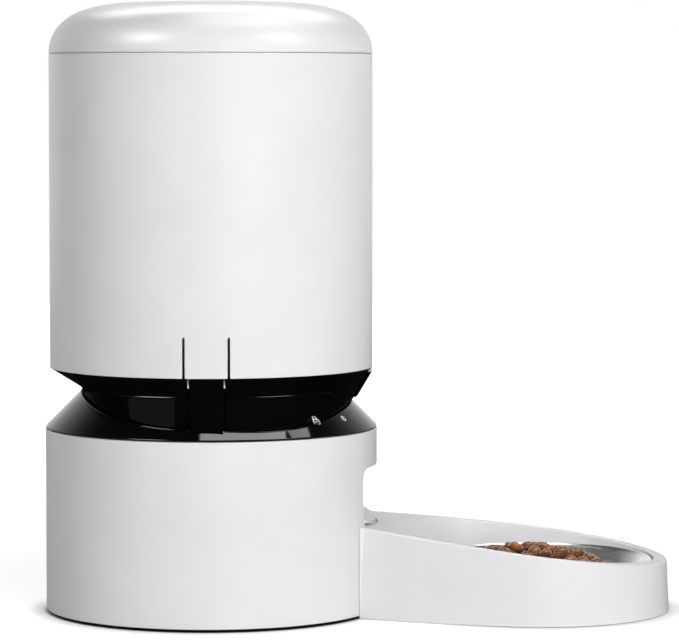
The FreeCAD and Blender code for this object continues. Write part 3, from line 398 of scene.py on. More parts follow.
def brushedStainless():
    # deep-drawn stainless bowl, brushed in rings by turning it against the belt: streaks run round it
    material, tree, shader = startMaterial("stainlessSteelBrushed", "#C9C9C7", 0.24, 1.0)
    coords = addNode(tree, "ShaderNodeTexCoord")
    centred = addNode(tree, "ShaderNodeMapping", {"Vector": coords.outputs["Object"],
                                                  "Location": (-bowlX, 0, 0)})
    parts = addNode(tree, "ShaderNodeSeparateXYZ", {0: centred})
    flat = addNode(tree, "ShaderNodeCombineXYZ", {"X": parts.outputs["X"], "Y": parts.outputs["Y"]})
    reach = addNode(tree, "ShaderNodeVectorMath", {0: flat}, operation="LENGTH")
    rings = addNode(tree, "ShaderNodeCombineXYZ",
                    {"X": reach.outputs["Value"], "Y": parts.outputs["Z"]})
    # belt lines 0.7 mm apart, coarser than real so that they show
    lines = addNode(tree, "ShaderNodeTexNoise", {"Vector": rings, "Scale": 1 / (0.7 * mm),
                                                 "Detail": 4.0})
    paint(tree, shader, lines, "#CACAC9", "#D6D6D4", 0.26, 0.33)
    bumpInto(tree, shader, lines, 0.003)
    return material


def metalFinish(name, colour, other, roughness, grainMm):
    # small plated or turned metal parts: bright, with streaks along the way they were worked
    material, tree, shader = startMaterial(name, colour, roughness, 1.0)
    noise = patternNoise(tree, grainMm, 3.0, (1, 1, 6))
    paint(tree, shader, noise, colour, other, roughness - 0.06, roughness + 0.1)
    bumpInto(tree, shader, noise, 0.01)
    return material


def kibbleCrust():
    # baked extruded kibble: fat-coated crust, so it shines, with pits and darker baked patches
    material, tree, shader = startMaterial("kibbleBakedCrust", "#8A4F2A", 0.34, ior=1.46,
                                           Coat_Weight=0.35, Coat_Roughness=0.18)
    patch, pits = patternNoise(tree, 7.0, 3.0), patternNoise(tree, 1.1, 4.0)
    paint(tree, shader, patch, "#5E3014", "#AC6A38")
    plug(tree, shader, {"Roughness": spread(tree, pits, 0.28, 0.44)})
    bumpInto(tree, shader, pits, 0.2, 0.5)
    return material


def circuitBoard():
    # FR4 laminate under green solder mask, with the faint lines of copper tracks below it
    material, tree, shader = startMaterial("solderMaskPrinted", "#0E5A30", 0.35)
    coords = addNode(tree, "ShaderNodeTexCoord")
    tracks = addNode(tree, "ShaderNodeTexBrick", {"Vector": coords.outputs["Object"],
                                                  "Scale": 1 / (6 * mm),
                                                  "Color1": linearColour("#0E5A30"),
                                                  "Color2": linearColour("#127040"),
                                                  "Mortar": linearColour("#2E8B57"),
                                                  "Mortar Size": 0.03})
    plug(tree, shader, {"Base Color": tracks})
    bumpInto(tree, shader, tracks.outputs["Fac"], 0.03)
    return material


def desiccantPaper():
    # bonded non-woven sachet: crossed fibres, drawn coarser than real so that they show
    material, tree, shader = startMaterial("nonWovenSachet", "#E6E3DA", 0.85)
    fibres = patternNoise(tree, 1.2, 6.0, (1, 5, 1))
    paint(tree, shader, fibres, "#D8D4C8", "#F1EFE8")
    bumpInto(tree, shader, fibres, 0.15)
    return material


whiteAbs = mouldedPlastic("whiteAbsSatinMoulded", "#EEEEEF", "#EAEAEB", 0.36, 0.8, 0.012,
                          Subsurface_Weight=0.04, Subsurface_Radius=(0.004, 0.004, 0.004))
whiteInner = mouldedPlastic("whitePolypropyleneMoulded", "#E4E5E6", "#DDDEE0", 0.45, 0.9, 0.02)
pianoBlack = pianoBlackAbs()
smokedLens = mouldedPlastic("smokedAcrylicPolished", "#040405", "#060608", 0.07, 4.0, 0.004)
# painted light: the printed white ink also glows faintly, so the marks look whiter than the lamps alone
# make them
glowingWhiteInk = mouldedPlastic("whiteInkPrinted", "#F4F4F5", "#EAEAEB", 0.6, 0.4, 0.005,
                          Emission_Color=linearColour("#FFFFFF"), Emission_Strength=0.45)
greyRubber = mouldedPlastic("tprRubberMoulded", "#8C8D90", "#7E7F83", 0.75, 0.5, 0.05)
silicone = mouldedPlastic("siliconeRubberMoulded", "#C9CCD0", "#BFC3C8", 0.5, 0.7, 0.03,
                          Subsurface_Weight=0.15, Subsurface_Radius=(0.003, 0.003, 0.003))
rotorPlastic = mouldedPlastic("greyAbsMoulded", "#C2C4C8", "#B8BBC0", 0.42, 0.8, 0.02)
blackNylon = mouldedPlastic("glassFilledNylonMoulded", "#1B1C1E", "#242528", 0.6, 0.5, 0.04)
blackParts = mouldedPlastic("blackThermosetMoulded", "#161617", "#202022", 0.5, 0.6, 0.03)
acetal = mouldedPlastic("acetalMoulded", "#DEDACB", "#D3CFBF", 0.38, 0.7, 0.015)
cellSleeve = mouldedPlastic("pvcShrinkSleeve", "#3B4048", "#474D56", 0.32, 2.0, 0.02)
steelBrushed = brushedStainless()
zincScrew = metalFinish("zincPlatedSteel", "#B9BBBE", "#A2A5A9", 0.34, 0.8)
motorSteel = metalFinish("nickelPlatedSteelDrawn", "#AEB0B2", "#C3C5C7", 0.3, 1.5)
turnedBrass = metalFinish("brassTurned", "#C9A24B", "#B98F3C", 0.28, 0.6)
contactPlate = metalFinish("nickelPlatedSpringSteel", "#C5C5C2", "#B3B3AF", 0.25, 0.9)
boardGreen = circuitBoard()
sachet = desiccantPaper()
kibbleSkin = kibbleCrust()

cadFinishes = {"base_plate": whiteInner, "battery_door": whiteInner, "lid_liner": whiteInner,
               "hopper_funnel": whiteInner, "desiccant_box": whiteInner, "desiccant_cover": whiteInner,
               "battery_bay": whiteInner, "food_chute": whiteAbs, "rubber_feet": greyRubber,
               "tray_pads": greyRubber, "base_screws": zincScrew, "deck_screws": zincScrew,
               "gearbox_screws": zincScrew, "touch_board": boardGreen, "main_board": boardGreen,
               "board_components": blackParts, "jam_sensors": blackParts, "power_inlet": blackParts,
               "gearbox_case": blackNylon, "gearbox_cover": blackNylon, "motor_can": motorSteel,
               "motor_gearhead": motorSteel, "motor_armature": motorSteel, "motor_shaft": motorSteel,
               "idler_axle": motorSteel, "motor_pinion": acetal, "idler_gear": acetal,
               "output_gear": acetal, "drive_shaft": acetal, "output_bushing": turnedBrass,
               "outlet_shield": silicone, "rotor_wipers": silicone, "lid_seal": silicone,
               "feed_rotor": rotorPlastic, "stirrer": rotorPlastic, "desiccant_bag": sachet,
               "battery_cells": cellSleeve, "battery_contacts": contactPlate,
               "display_window": smokedLens, "front_badge": smokedLens, }
for nodeName, finish in cadFinishes.items():
    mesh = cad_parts[nodeName].data
    mesh.materials.clear()
    mesh.materials.append(finish)
print("materials made and CAD nodes painted:", len(cadFinishes))

# base shell
baseSizes = {"round": 0.7 * mm, "topRound": 0.5 * mm, "windowHalf": 40 * mm, "windowLow": 52 * mm,
             "windowHigh": 88.8 * mm, "windowCorner": 7 * mm, "inletRadius": 5.35 * mm,
             "inletZ": 24 * mm, "tongueOffset": 28 * mm, "tongueHalf": 7.5 * mm, "tongueLow": 8.5 * mm,
             "tongueHigh": 15.5 * mm, "skirtZ": 1.7 * mm, "innerRound": 0.3 * mm, "inletReach": 20 * mm,
             "edge": 0.45 * mm}


def windowCutter(s):
    # the rounded food opening, drawn out along X
    outline = roundBox(s["windowHalf"], s["windowLow"], s["windowHigh"], s["windowCorner"], 8)
    ends = ([(axisX + share * baseRadius, y, z) for y, z in outline] for share in (0.7, 1.1))
    return tidyMesh(drawnOut("window", *ends))


def makeBaseShell(s):
    inside = baseRadius - wall
    outline = rounded([(baseRadius, s["skirtZ"], s["round"]), (baseRadius, baseHigh.z, s["topRound"]),
                       (inside, baseHigh.z, s["innerRound"]), (inside, s["skirtZ"], s["innerRound"])])
    shell = turnedShape("baseShellSkin", outline, axisX)
    reach = s["inletReach"]
    inlet = turnedShape("inlet", [(0, -reach), (s["inletRadius"], -reach), (s["inletRadius"], reach),
                                  (0, reach)], 0, 48)
    atWall = Matrix.Translation((axisX - baseRadius, 0, s["inletZ"]))
    inlet.data.transform(atWall @ Matrix.Rotation(math.pi / 2, 4, "Y"))
    cutters = [windowCutter(s), inlet]
    for side in (-1, 1):
        y = side * s["tongueOffset"]
        low = (axisX + 0.8 * baseRadius, y - s["tongueHalf"], s["tongueLow"])
        high = (axisX + 1.1 * baseRadius, y + s["tongueHalf"], s["tongueHigh"])
        cutters.append(boxShape("tongue", low, high))
    combine(shell, cutters, "DIFFERENCE")
    easeEdges(shell, s["edge"])
    return finishPiece(shell, whiteAbs, "base", ["base_shell"])


makeBaseShell(baseSizes)
print("base shell made")

# control deck
deckSizes = {"groove": 0.7 * mm, "grooveRound": 0.25 * mm, "seam": 0.3 * mm, "startZ": 111.7 * mm,
             "startRound": 0.5 * mm, "topRadius": 76 * mm, "floorZ": 96 * mm, "skirtRadius": 97.3 * mm,
             "wellX": 81.3 * mm, "wellY": 94.6 * mm, "wellShift": 3.3 * mm, "notchX": 0.4 * mm,
             "notchHalf": 9.65 * mm, "notchY": 96.1 * mm, "notchLow": 102 * mm, "outletInner": 36 * mm,
             "outletOuter": 63 * mm, "outletHalf": 26, "shaftRadius": 8.4 * mm, "spare": 5 * mm,
             "edge": 0.5 * mm, "lip": 0.42 * mm, "beadSteps": 360, "beadSides": 10, "beadSink": 0.35}


def rimBead(s):
    # a fine rounded lip along the well's edge on the slope, open at the two latch notches
    steps, around = s["beadSteps"], s["beadSides"]
    runs, run = [], []
    for i in range(steps + 1):
        x, y = ovalPoint(math.tau * i / steps, s["wellX"] + s["lip"] / 2, s["wellY"] + s["lip"] / 2)
        x += s["wellShift"]
        if abs(x - s["notchX"]) < s["notchHalf"] + s["lip"]:
            if run:
                runs.append(run)
            run = []
            continue
        z = s["startZ"] + baseRadius - math.hypot(x, y) - s["lip"] * s["beadSink"]
        run.append(Vector((axisX + x, y, z)))
    runs[0] = run + runs[0][1:]
    points, faces = [], []
    for line in runs:
        first = len(points)
        for i, here in enumerate(line):
            along = (line[min(i + 1, len(line) - 1)] - line[max(i - 1, 0)]).normalized()
            side = along.cross(Vector((0, 0, 1))).normalized()
            up = side.cross(along)
            for k in range(around):
                a = math.tau * k / around
                points.append(here + (side * math.cos(a) + up * math.sin(a)) * s["lip"])
        count = len(line)
        faces += [(first + i * around + k, first + i * around + (k + 1) % around,
                   first + (i + 1) * around + (k + 1) % around, first + (i + 1) * around + k)
                  for i in range(count - 1) for k in range(around)]
        faces += [tuple(range(first, first + around))[::-1],
                  tuple(range(first + (count - 1) * around, first + count * around))]
    return smoothShade(tidyMesh(newMesh("rimBead", points, faces)), 60)


def outletCutter(low, high):
    # the food's way down, the same in the deck and in the collar above it
    s = deckSizes
    ring = turnedShape("outlet", [(s["outletInner"], low), (s["outletOuter"], low),
                                  (s["outletOuter"], high), (s["outletInner"], high),
                                  (s["outletInner"], low)], axisX, 180)
    return combine(ring, [wedgeShape(0, s["outletHalf"], baseRadius, 2 * hopperLow.z)], "INTERSECT")


def discShape(name, radius, low, high, segments):
    return turnedShape(name, [(0, low), (radius, low), (radius, high), (0, high)], axisX, segments)


def makeDeck(s):
    topZ = s["startZ"] + baseRadius - s["topRadius"]
    seamZ = baseHigh.z + s["seam"]
    outline = rounded([(0, s["floorZ"], 0), (s["skirtRadius"], s["floorZ"], 0),
                       (s["skirtRadius"], seamZ, 0),
                       (baseRadius - s["groove"], seamZ, s["grooveRound"]),
                       (baseRadius, s["startZ"], s["startRound"]), (s["topRadius"], topZ, 0),
                       (0, topZ, 0)], closed=False)
    deck = turnedShape("controlDeckSkin", outline, axisX, 288)
    floorTop = s["floorZ"] + wall
    cutters = [ovalPrism("well", s["wellX"], s["wellY"], floorTop, topZ + s["spare"], s["wellShift"])]
    notchX = axisX + s["notchX"]
    for side in (-1, 1):
        low = (notchX - s["notchHalf"], side * 0.9 * s["wellY"], s["notchLow"])
        cutters.append(boxShape("notch", low, (notchX + s["notchHalf"], side * s["notchY"], topZ)))
    cutters += [outletCutter(s["floorZ"] - wall, floorTop + wall),
                discShape("shaft", s["shaftRadius"], s["floorZ"] - wall, floorTop + wall, 64)]
    combine(deck, cutters, "DIFFERENCE")
    easeEdges(deck, s["edge"], 30)
    mergeInto(deck, [rimBead(s)])
    return finishPiece(deck, pianoBlack, "base", ["control_deck"])


makeDeck(deckSizes)
print("control deck made")

# marks printed on the deck
printSizes = {"line": 0.42 * mm, "scale": 1.35, "proud": 0.06 * mm, "lockAt": 46,
              "lockRadius": 91.3 * mm, "dialAt": 30, "dialRadius": 92.0 * mm}


def strokeQuads(line, width, closed):
    # a flat ribbon of even width along a line of (across, up) points
    count = len(line)
    left, right = [], []
    for i, here in enumerate(line):
        before = Vector(line[i - 1] if closed or i else here)
        after = Vector(line[(i + 1) % count] if closed or i < count - 1 else here)
        along = (after - before).normalized()
        side = Vector((-along.y, along.x)) * width / 2
        left.append(Vector(here) + side)
        right.append(Vector(here) - side)
    spans = range(count if closed else count - 1)
    return left + right, [(i, (i + 1) % count, count + (i + 1) % count, count + i) for i in spans]


def makePrints(s):
    # generic padlock and dial marks, on both sides of the display
    leg = (0.95 * mm, 0.5 * mm)
    lock = [(roundBox(1.55 * mm, -2.1 * mm, 0.5 * mm, 0.5 * mm), True),
            ([(-leg[0], leg[1])] + arcLine(0, 1.3 * mm, leg[0], 180, 0, 12) + [leg], False),
            (arcLine(0, -0.8 * mm, 0.22 * mm, 0, 345, 11), True)]
    dial = [(arcLine(0, 0, 1.25 * mm, 0, 348, 28), True),
            ([(0, 0.75 * mm), (0, 0), (0.55 * mm, -0.3 * mm)], False)]
    points, faces = [], []
    for side in (-1, 1):
        for strokes, angle, radius in ((lock, s["lockAt"], s["lockRadius"]),
                                       (dial, s["dialAt"], s["dialRadius"])):
            for line, closed in strokes:
                flat, quads = strokeQuads([(x * s["scale"], y * s["scale"]) for x, y in line],
                                          s["line"], closed)
                start = len(points)
                for p in flat:
                    r = radius - p.y * math.sqrt(0.5)    # the deck slopes at 45 degrees
                    a = math.radians(side * angle) - p.x / radius
                    z = deckSizes["startZ"] + baseRadius - r
                    r += s["proud"]
                    points.append((axisX + r * math.cos(a), r * math.sin(a), z + s["proud"]))
                faces += [tuple(start + i for i in quad) for quad in quads]
    return finishPiece(newMesh("deckPrints", points, faces), glowingWhiteInk, "base")


makePrints(printSizes)
print("prints made")

# hopper collar
collarSizes = {"slope": 31.0, "edgeZ": 135 * mm, "fasciaZ": 127.6 * mm, "fasciaHalf": 37,
               "fingerHalf": 36, "fingerRadius": 77.6 * mm, "waistX": 80.5 * mm, "waistY": 88 * mm,
               "tabX": 0.4 * mm, "armHalf": 10.9 * mm, "bead": 0.55 * mm, "beadShift": 0.25 * mm,
               "pocketY": 83.1 * mm, "chamber": 66.5 * mm, "mouthDrop": 9 * mm, "mouthFlare": 10 * mm,
               "shaftRadius": 8.5 * mm, "spare": 5 * mm, "edge": 0.45 * mm}


def taperRadius(z):
    s = collarSizes
    return hopperRadius - (hopperLow.z - z) * math.tan(math.radians(s["slope"]))


def taperSolid(name, low, high):
    return turnedShape(name, [(0, low), (taperRadius(low), low), (taperRadius(high), high), (0, high)],
                       axisX, 288)


def makeCollar(s):
    floorZ, topZ, edgeZ = collarLow.z, hopperLow.z, s["edgeZ"]
    collar = taperSolid("hopperCollarSkin", edgeZ, topZ)
    beadR, beadZ = taperRadius(edgeZ) + s["beadShift"], edgeZ + s["bead"]
    bead = turnedShape("bead", [(beadR + s["bead"] * math.cos(math.radians(20 * i)),
                                 beadZ + s["bead"] * math.sin(math.radians(20 * i)))
                                for i in range(19)], axisX, 288)
    combine(bead, [wedgeShape(0, s["fasciaHalf"], 2 * baseRadius, 2 * topZ)], "DIFFERENCE")
    waist = ovalPrism("waist", s["waistX"], s["waistY"], floorZ, edgeZ + 0.5 * mm,
                      deckSizes["wellShift"])
    fascia = taperSolid("fascia", s["fasciaZ"], edgeZ + 0.2 * mm)
    combine(fascia, [wedgeShape(0, s["fasciaHalf"], baseRadius, 2 * topZ)], "INTERSECT")
    combine(collar, [waist, fascia, bead], "UNION")
    slant = (topZ - edgeZ) / (hopperRadius - s["fingerRadius"])
    far = baseRadius + 2 * s["spare"]
    finger = turnedShape("finger", [(s["fingerRadius"], edgeZ),
                                    (far, edgeZ + slant * (far - s["fingerRadius"])),
                                    (far, edgeZ - 0.01 * mm), (s["fingerRadius"], edgeZ)], axisX, 288)
    combine(finger, [wedgeShape(180, s["fingerHalf"], 2 * baseRadius, 2 * topZ)], "INTERSECT")
    mouth = s["chamber"] + s["mouthFlare"]
    hollow = turnedShape("hollow", [(0, floorZ + wall), (s["chamber"], floorZ + wall),
                                    (s["chamber"], topZ - s["mouthDrop"]), (mouth, topZ + mm),
                                    (0, topZ + mm)], axisX, 192)
    cutters = [finger, hollow, outletCutter(floorZ - mm, floorZ + 2 * wall),
               discShape("shaft", s["shaftRadius"], floorZ - mm, floorZ + 2 * wall, 64)]
    armX = axisX + s["tabX"]
    for side in (-1, 1):
        cutters.append(boxShape("pocket", (armX - s["armHalf"], side * s["pocketY"], floorZ - mm),
                                (armX + s["armHalf"], side * far, topZ + s["spare"])))
    combine(collar, cutters, "DIFFERENCE")
    easeEdges(collar, s["edge"], 24)
    return finishPiece(collar, pianoBlack, "hopper", ["hopper_collar"])


makeCollar(collarSizes)
print("hopper collar made")

# hopper shell, release tabs and latch arms
shellSizes = {"lowRound": 0.5 * mm, "topRound": 0.6 * mm, "innerRound": 0.3 * mm, "slitWidth": 1.5 * mm,
              "tabHalf": 12.35 * mm, "tabX": 0.4 * mm, "slitTop": 171.0 * mm, "hingeZ": 170.3 * mm,
              "bend": 4 * mm, "ribs": (-10.55 * mm, 10.55 * mm), "ribHalf": 0.42 * mm,
              "ribDrop": 5.6 * mm, "spare": 5 * mm}
armSizes = {"half": 10.1 * mm, "upper": 94.7 * mm, "thick": 2.2 * mm, "lowerRadius": 89.6 * mm,
            "lowZ": 103 * mm, "topZ": 168 * mm, "hookHalf": 8.5 * mm, "hookReach": 95.7 * mm,
            "hookLow": 104 * mm, "hookHigh": 108 * mm, "legRound": 0.5 * mm, "kneeRound": 0.6 * mm,
            "leafRound": 0.3 * mm, "edge": 0.3 * mm}


def hopperWall(s):
    inside = hopperRadius - wall
    above = s["slitTop"] + 2 * mm    # a row just above the slits keeps the faces cut by them short
    outline = rounded([(hopperRadius, hopperLow.z, s["lowRound"]), (hopperRadius, above, 0),
                       (hopperRadius, above + mm, 0), (hopperRadius, hopperHigh.z, s["topRound"]),
                       (inside, hopperHigh.z, s["innerRound"]), (inside, above + mm, 0),
                       (inside, above, 0), (inside, hopperLow.z, s["innerRound"])])
    return turnedShape("hopperShellSkin", outline, axisX, 288)


def makeHopper(s):
    shell = hopperWall(s)
    middle = axisX + s["tabX"]
    step = s["tabHalf"] + s["slitWidth"] / 2
    far, near, lowZ = baseRadius + s["spare"], 0.8 * hopperRadius, hopperLow.z - s["spare"]
    slits = [slotShape(middle + way * step, s["slitWidth"] / 2, lowZ, s["slitTop"],
                       side * 0.85 * hopperRadius, side * far) for side in (-1, 1) for way in (-1, 1)]
    combine(shell, slits, "DIFFERENCE")
    easeEdges(shell, 0.25 * mm, 40, 2)
    # short white ribs that show in the slits beside each latch arm
    ribLow = hopperLow.z - s["ribDrop"]
    ribInner, ribOuter = taperRadius(ribLow) - 3 * mm, taperRadius(ribLow) - 0.2 * mm
    windows = []
    for side, name in ((-1, "right"), (1, "left")):
        tab = shell.copy()
        tab.data = shell.data.copy()
        tab.name = "releaseTab" + name.capitalize()
        scene.collection.objects.link(tab)
        span = (middle - step, side * near, lowZ), (middle + step, side * far, s["hingeZ"])
        combine(tab, [boxShape("keep", *span)], "INTERSECT")
        windows.append(boxShape("window", *span))
        ribs = [boxShape("rib", (middle + x - s["ribHalf"], side * ribInner, ribLow),
                         (middle + x + s["ribHalf"], side * ribOuter, hopperLow.z + 2 * mm))
                for x in s["ribs"]]
        combine(tab, ribs, "UNION")
        smoothShade(tab, 50)
        tab.data.materials.clear()
        tab.data.materials.append(whiteAbs)
        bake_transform(tab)
        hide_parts("release_tab_" + name)
    combine(shell, windows, "DIFFERENCE")
    smoothShade(shell, 50)
    return finishPiece(shell, whiteAbs, "hopper", ["hopper_shell"])


def makeLatchArm(name, side, s):
    # a strip of a turned band: flat leaf behind the tab, slope flush with the collar, leg beside the waist
    thick, edge = s["thick"], collarSizes["edgeZ"]
    topRadius, edgeRadius = taperRadius(hopperLow.z), taperRadius(edge)
    outline = rounded([(s["upper"] - thick, s["topZ"], s["leafRound"]),
                       (s["upper"], s["topZ"], s["leafRound"]), (s["upper"], hopperLow.z + 0.2 * mm, 0),
                       (topRadius - 0.1 * mm, hopperLow.z - 0.1 * mm, 0.2 * mm),
                       (edgeRadius, edge, s["kneeRound"]), (s["lowerRadius"], s["lowZ"], s["legRound"]),
                       (s["lowerRadius"] - thick, s["lowZ"], s["legRound"]),
                       (edgeRadius - thick - 0.3 * mm, edge + mm, 0),
                       (s["upper"] - thick, hopperLow.z + 0.2 * mm, 0)])
    arm = turnedShape("latchArm" + name.capitalize(), outline, axisX, 288)
    middle = axisX + collarSizes["tabX"]
    strip = boxShape("strip", (middle - s["half"], side * 0.7 * baseRadius, 0),
                     (middle + s["half"], side * 1.1 * baseRadius, 2 * s["topZ"]))
    combine(arm, [strip], "INTERSECT")
    hook = boxShape("hook", (middle - s["hookHalf"], side * (s["lowerRadius"] - mm), s["hookLow"]),
                    (middle + s["hookHalf"], side * s["hookReach"], s["hookHigh"]))
    combine(arm, [hook], "UNION")
    easeEdges(arm, s["edge"], 35, 2)
    return finishPiece(arm, pianoBlack, "release_" + name, ["latch_arm_" + name])


makeHopper(shellSizes)
for side, name in ((-1, "right"), (1, "left")):
    makeLatchArm(name, side, armSizes)
print("hopper shell, tabs and latch arms made")

# lid
lidSizes = {"seam": 0.3 * mm, "lip": 0.4 * mm, "lipEase": 0.12 * mm, "sharpness": 5.0, "steps": 40,
            "capRadius": 11 * mm, "capHeight": 0.9 * mm, "capSink": 0.8 * mm, "capRound": 0.5 * mm}


def domePoints(radius, height, low, s):
    # squared dome: (r/R)^n + (h/H)^2 = 1
    turns = [math.pi / 2 * i / s["steps"] for i in range(s["steps"])]
    return [(radius * math.cos(a) ** (2 / s["sharpness"]), low + height * math.sin(a))
            for a in turns] + [(0.0, low + height)]


def makeLid(s):
    low, top = hopperHigh.z + s["seam"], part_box("lid_shell")[1].z
    height = top - low
    outer = [(r, min(z, low + height)) for r, z in domePoints(hopperRadius, height, low + s["lip"], s)]
    inner = domePoints(hopperRadius - wall, height - wall, low, s)[::-1]
    edge = [(hopperRadius - s["lip"], low), (hopperRadius - s["lipEase"], low + s["lipEase"])]
    lid = turnedShape("lidDome", inner + edge + outer, axisX, 288)
    smoothShade(lid, 60)
    finishPiece(lid, whiteAbs, "lid", ["lid_shell"])
    capLow, capTop = low + height - s["capSink"], low + height + s["capHeight"]
    cap = turnedShape("lidCapDisc", rounded([(0, capLow, 0), (s["capRadius"], capLow, 0),
                                             (s["capRadius"], capTop, s["capRound"]), (0, capTop, 0)],
                                            closed=False), axisX, 96)
    smoothShade(cap, 50)
    finishPiece(cap, whiteAbs, "lid", ["lid_cap"])


makeLid(lidSizes)
print("lid made")

# tray
traySizes = {"endRadius": 80.5 * mm, "sideRadius": 341.6 * mm, "tangent": 11.8, "draft": 3.0,
             "rimSlope": 0.127, "rimWall": 3.4 * mm, "endWall": 8.0 * mm, "slideRadius": 86 * mm,
             "pocketRadius": 70.8 * mm, "pocketTop": 30 * mm, "floor": 2.0 * mm, "backGap": 0.4 * mm,
             "rimRound": 1.6 * mm, "creaseRound": 7 * mm, "columns": 360, "skirtZ": 0.3 * mm,
             "tongueEase": 0.5 * mm, "searchSteps": 2000, "cornerClear": 0.004, "cornerStep": 0.0016}


def trayReach(turn, s):
    # from the bowl's centre to the outline at floor level; the base cuts it off at the back
    if abs(turn) <= math.radians(90 + s["tangent"]):
        return s["endRadius"]
    angle = math.radians(s["tangent"])
    step = s["endRadius"] - s["sideRadius"]
    away = Vector((step * math.sin(angle), -math.copysign(1, turn) * step * math.cos(angle)))
    along = away.x * math.cos(turn) + away.y * math.sin(turn)
    return -along + math.sqrt(along ** 2 - away.length_squared + s["sideRadius"] ** 2)


def backReach(turn, radius):
    # to the base's round wall, where that lies in the way
    gap = bowlX - axisX
    along = gap * math.cos(turn)
    inside = along ** 2 - gap ** 2 + radius ** 2
    if inside < 0 or math.cos(turn) > 0:
        return 10.0
    return -along - math.sqrt(inside)


def rimHeight(x, s):
    return trayHigh.z - s["rimSlope"] * (x - trayLow.x)


def traySection(turn, s):
    # one upright cut of the tray at the angle turn, as (reach, z) from the outer foot round to it again
    c = math.cos(turn)
    lean = math.tan(math.radians(s["draft"]))
    back = backReach(turn, baseRadius + s["backGap"])
    foot = trayReach(turn, s)
    atBack = back < foot
    foot = min(back, foot)
    rimZ = rimHeight(bowlX + foot * c, s)
    top = foot if atBack else foot - (rimZ - trayLow.z) * lean
    rimZ = rimHeight(bowlX + top * c, s)
    thick = s["rimWall"] + (s["endWall"] - s["rimWall"]) * ((1 + c) / 2) ** 3
    inside = (min(trayReach(turn, s) - thick - (rimZ - trayLow.z) * lean, 0.2) ** -16
              + s["slideRadius"] ** -16) ** (-1 / 16)
    insideZ = rimHeight(bowlX + inside * c, s)
    soft = s["rimRound"] + (s["creaseRound"] - s["rimRound"]) * max(0.0, -c) ** 6
    floorTop = trayLow.z + s["floor"]
    return [(foot, s["skirtZ"], 0.5 * mm), (top, rimZ, s["rimRound"] if not atBack else 0.6 * mm),
            (inside, insideZ, soft), (s["pocketRadius"], s["pocketTop"], 1.2 * mm),
            (s["pocketRadius"], floorTop, 1.0 * mm), (0.5 * mm, floorTop, 0), (0.5 * mm, trayLow.z, 0),
            (s["pocketRadius"] + wall, trayLow.z, 0), (s["pocketRadius"] + wall, s["pocketTop"] - wall,
                                                       0),
            (min(inside + wall, top - 1.2 * wall), insideZ - 2 * wall, 0),
            (top - wall, rimZ - 2 * wall, 0), (foot - wall, s["skirtZ"], 0)]


def fixedRound(corners):
    # like rounded, with the same number of points whatever the angle, so that sections join up
    points = []
    count = len(corners)
    for i, (r, z, fillet) in enumerate(corners):
        here = Vector((r, z))
        if fillet <= 0:
            points.append(here)
            continue
        before = Vector(corners[i - 1][:2]) - here
        after = Vector(corners[(i + 1) % count][:2]) - here
        start = here + before.normalized() * min(fillet, before.length * 0.45)
        end = here + after.normalized() * min(fillet, after.length * 0.45)
        for k in range(7):
            t = k / 6
            points.append(start * (1 - t) ** 2 + here * (2 * t * (1 - t)) + end * t ** 2)
    return points


def makeTray(s):
    # polar columns about the bowl, with one exactly on each back corner
    quarter = (math.pi * (0.5 + 0.5 * i / s["searchSteps"]) for i in range(s["searchSteps"]))
    corner = next(turn for turn in quarter if backReach(turn,
                                                        baseRadius + s["backGap"]) < trayReach(turn, s))
    beside = corner - s["cornerStep"]
    turns = [-math.pi + math.tau * i / s["columns"] for i in range(s["columns"])]
    turns = sorted([t for t in turns if abs(abs(t) - corner) > s["cornerClear"]]
                   + [corner, -corner, beside, -beside])
    rings = [fixedRound(traySection(turn, s)) for turn in turns]
    count = len(rings[0])
    points = [(bowlX + p.x * math.cos(turn), p.x * math.sin(turn), p.y) for turn,
              ring in zip(turns, rings) for p in ring]
    total = len(turns)
    faces = [(a * count + i, a * count + (i + 1) % count, ((a + 1) % total) * count + (i + 1) % count,
              ((a + 1) % total) * count + i) for a in range(total) for i in range(count)]
    tray = tidyMesh(newMesh("foodTraySkin", points, faces))
    tongues = []
    for side in (-1, 1):
        y = side * baseSizes["tongueOffset"]
        half = baseSizes["tongueHalf"] - s["tongueEase"]
        tongues.append(boxShape("tongue",
                                (trayLow.x, y - half, baseSizes["tongueLow"] + s["tongueEase"]),
                                (axisX + baseRadius + 2 * mm, y + half,
                                 baseSizes["tongueHigh"] - s["tongueEase"])))
    combine(tray, tongues, "UNION")
    smoothShade(tray, 38)
    tray.visible_glossy = False      # keeps its mirror image off the black collar
    return finishPiece(tray, whiteAbs, "tray", ["food_tray"])


makeTray(traySizes)
print("tray made")

# bowl
bowlSizes = {"thick": 0.8 * mm, "roll": 1.4 * mm, "footInset": 13.6 * mm, "footRound": 9 * mm,
             "outerRound": 8.4 * mm, "neckInset": 2.2 * mm, "neckRound": 3 * mm, "curlStart": 110,
             "curlStep": 20, "curlPoints": 15}


def makeBowl(s):
    radius = (bowlHigh.x - bowlLow.x) / 2
    roll, thick = s["roll"], s["thick"]
    rimR, rimZ = radius - roll, bowlHigh.z - roll
    low = bowlLow.z
    inner = rounded([(0, low + thick, 0), (radius - s["footInset"], low + thick, s["footRound"]),
                     (rimR - s["neckInset"], rimZ, s["neckRound"]),
                     (rimR - roll * 0.4, rimZ + roll * 0.9, 0)], closed=False)
    turns = [math.radians(s["curlStart"] - s["curlStep"] * i) for i in range(s["curlPoints"])]
    curl = [(rimR + roll * math.cos(a), rimZ + roll * math.sin(a)) for a in turns]
    outer = rounded([(rimR - 1.4 * mm, rimZ - 1.0 * mm, 0),
                     (radius - s["footInset"] + 0.6 * mm, low, s["outerRound"]), (0, low, 0)],
                    closed=False)
    bowl = turnedShape("steelBowlSpun", inner + curl + outer, bowlX, 240)
    smoothShade(bowl, 60)
    bowl.visible_glossy = False
    return finishPiece(bowl, steelBrushed, "bowl", ["steel_bowl"])


makeBowl(bowlSizes)
print("bowl made")

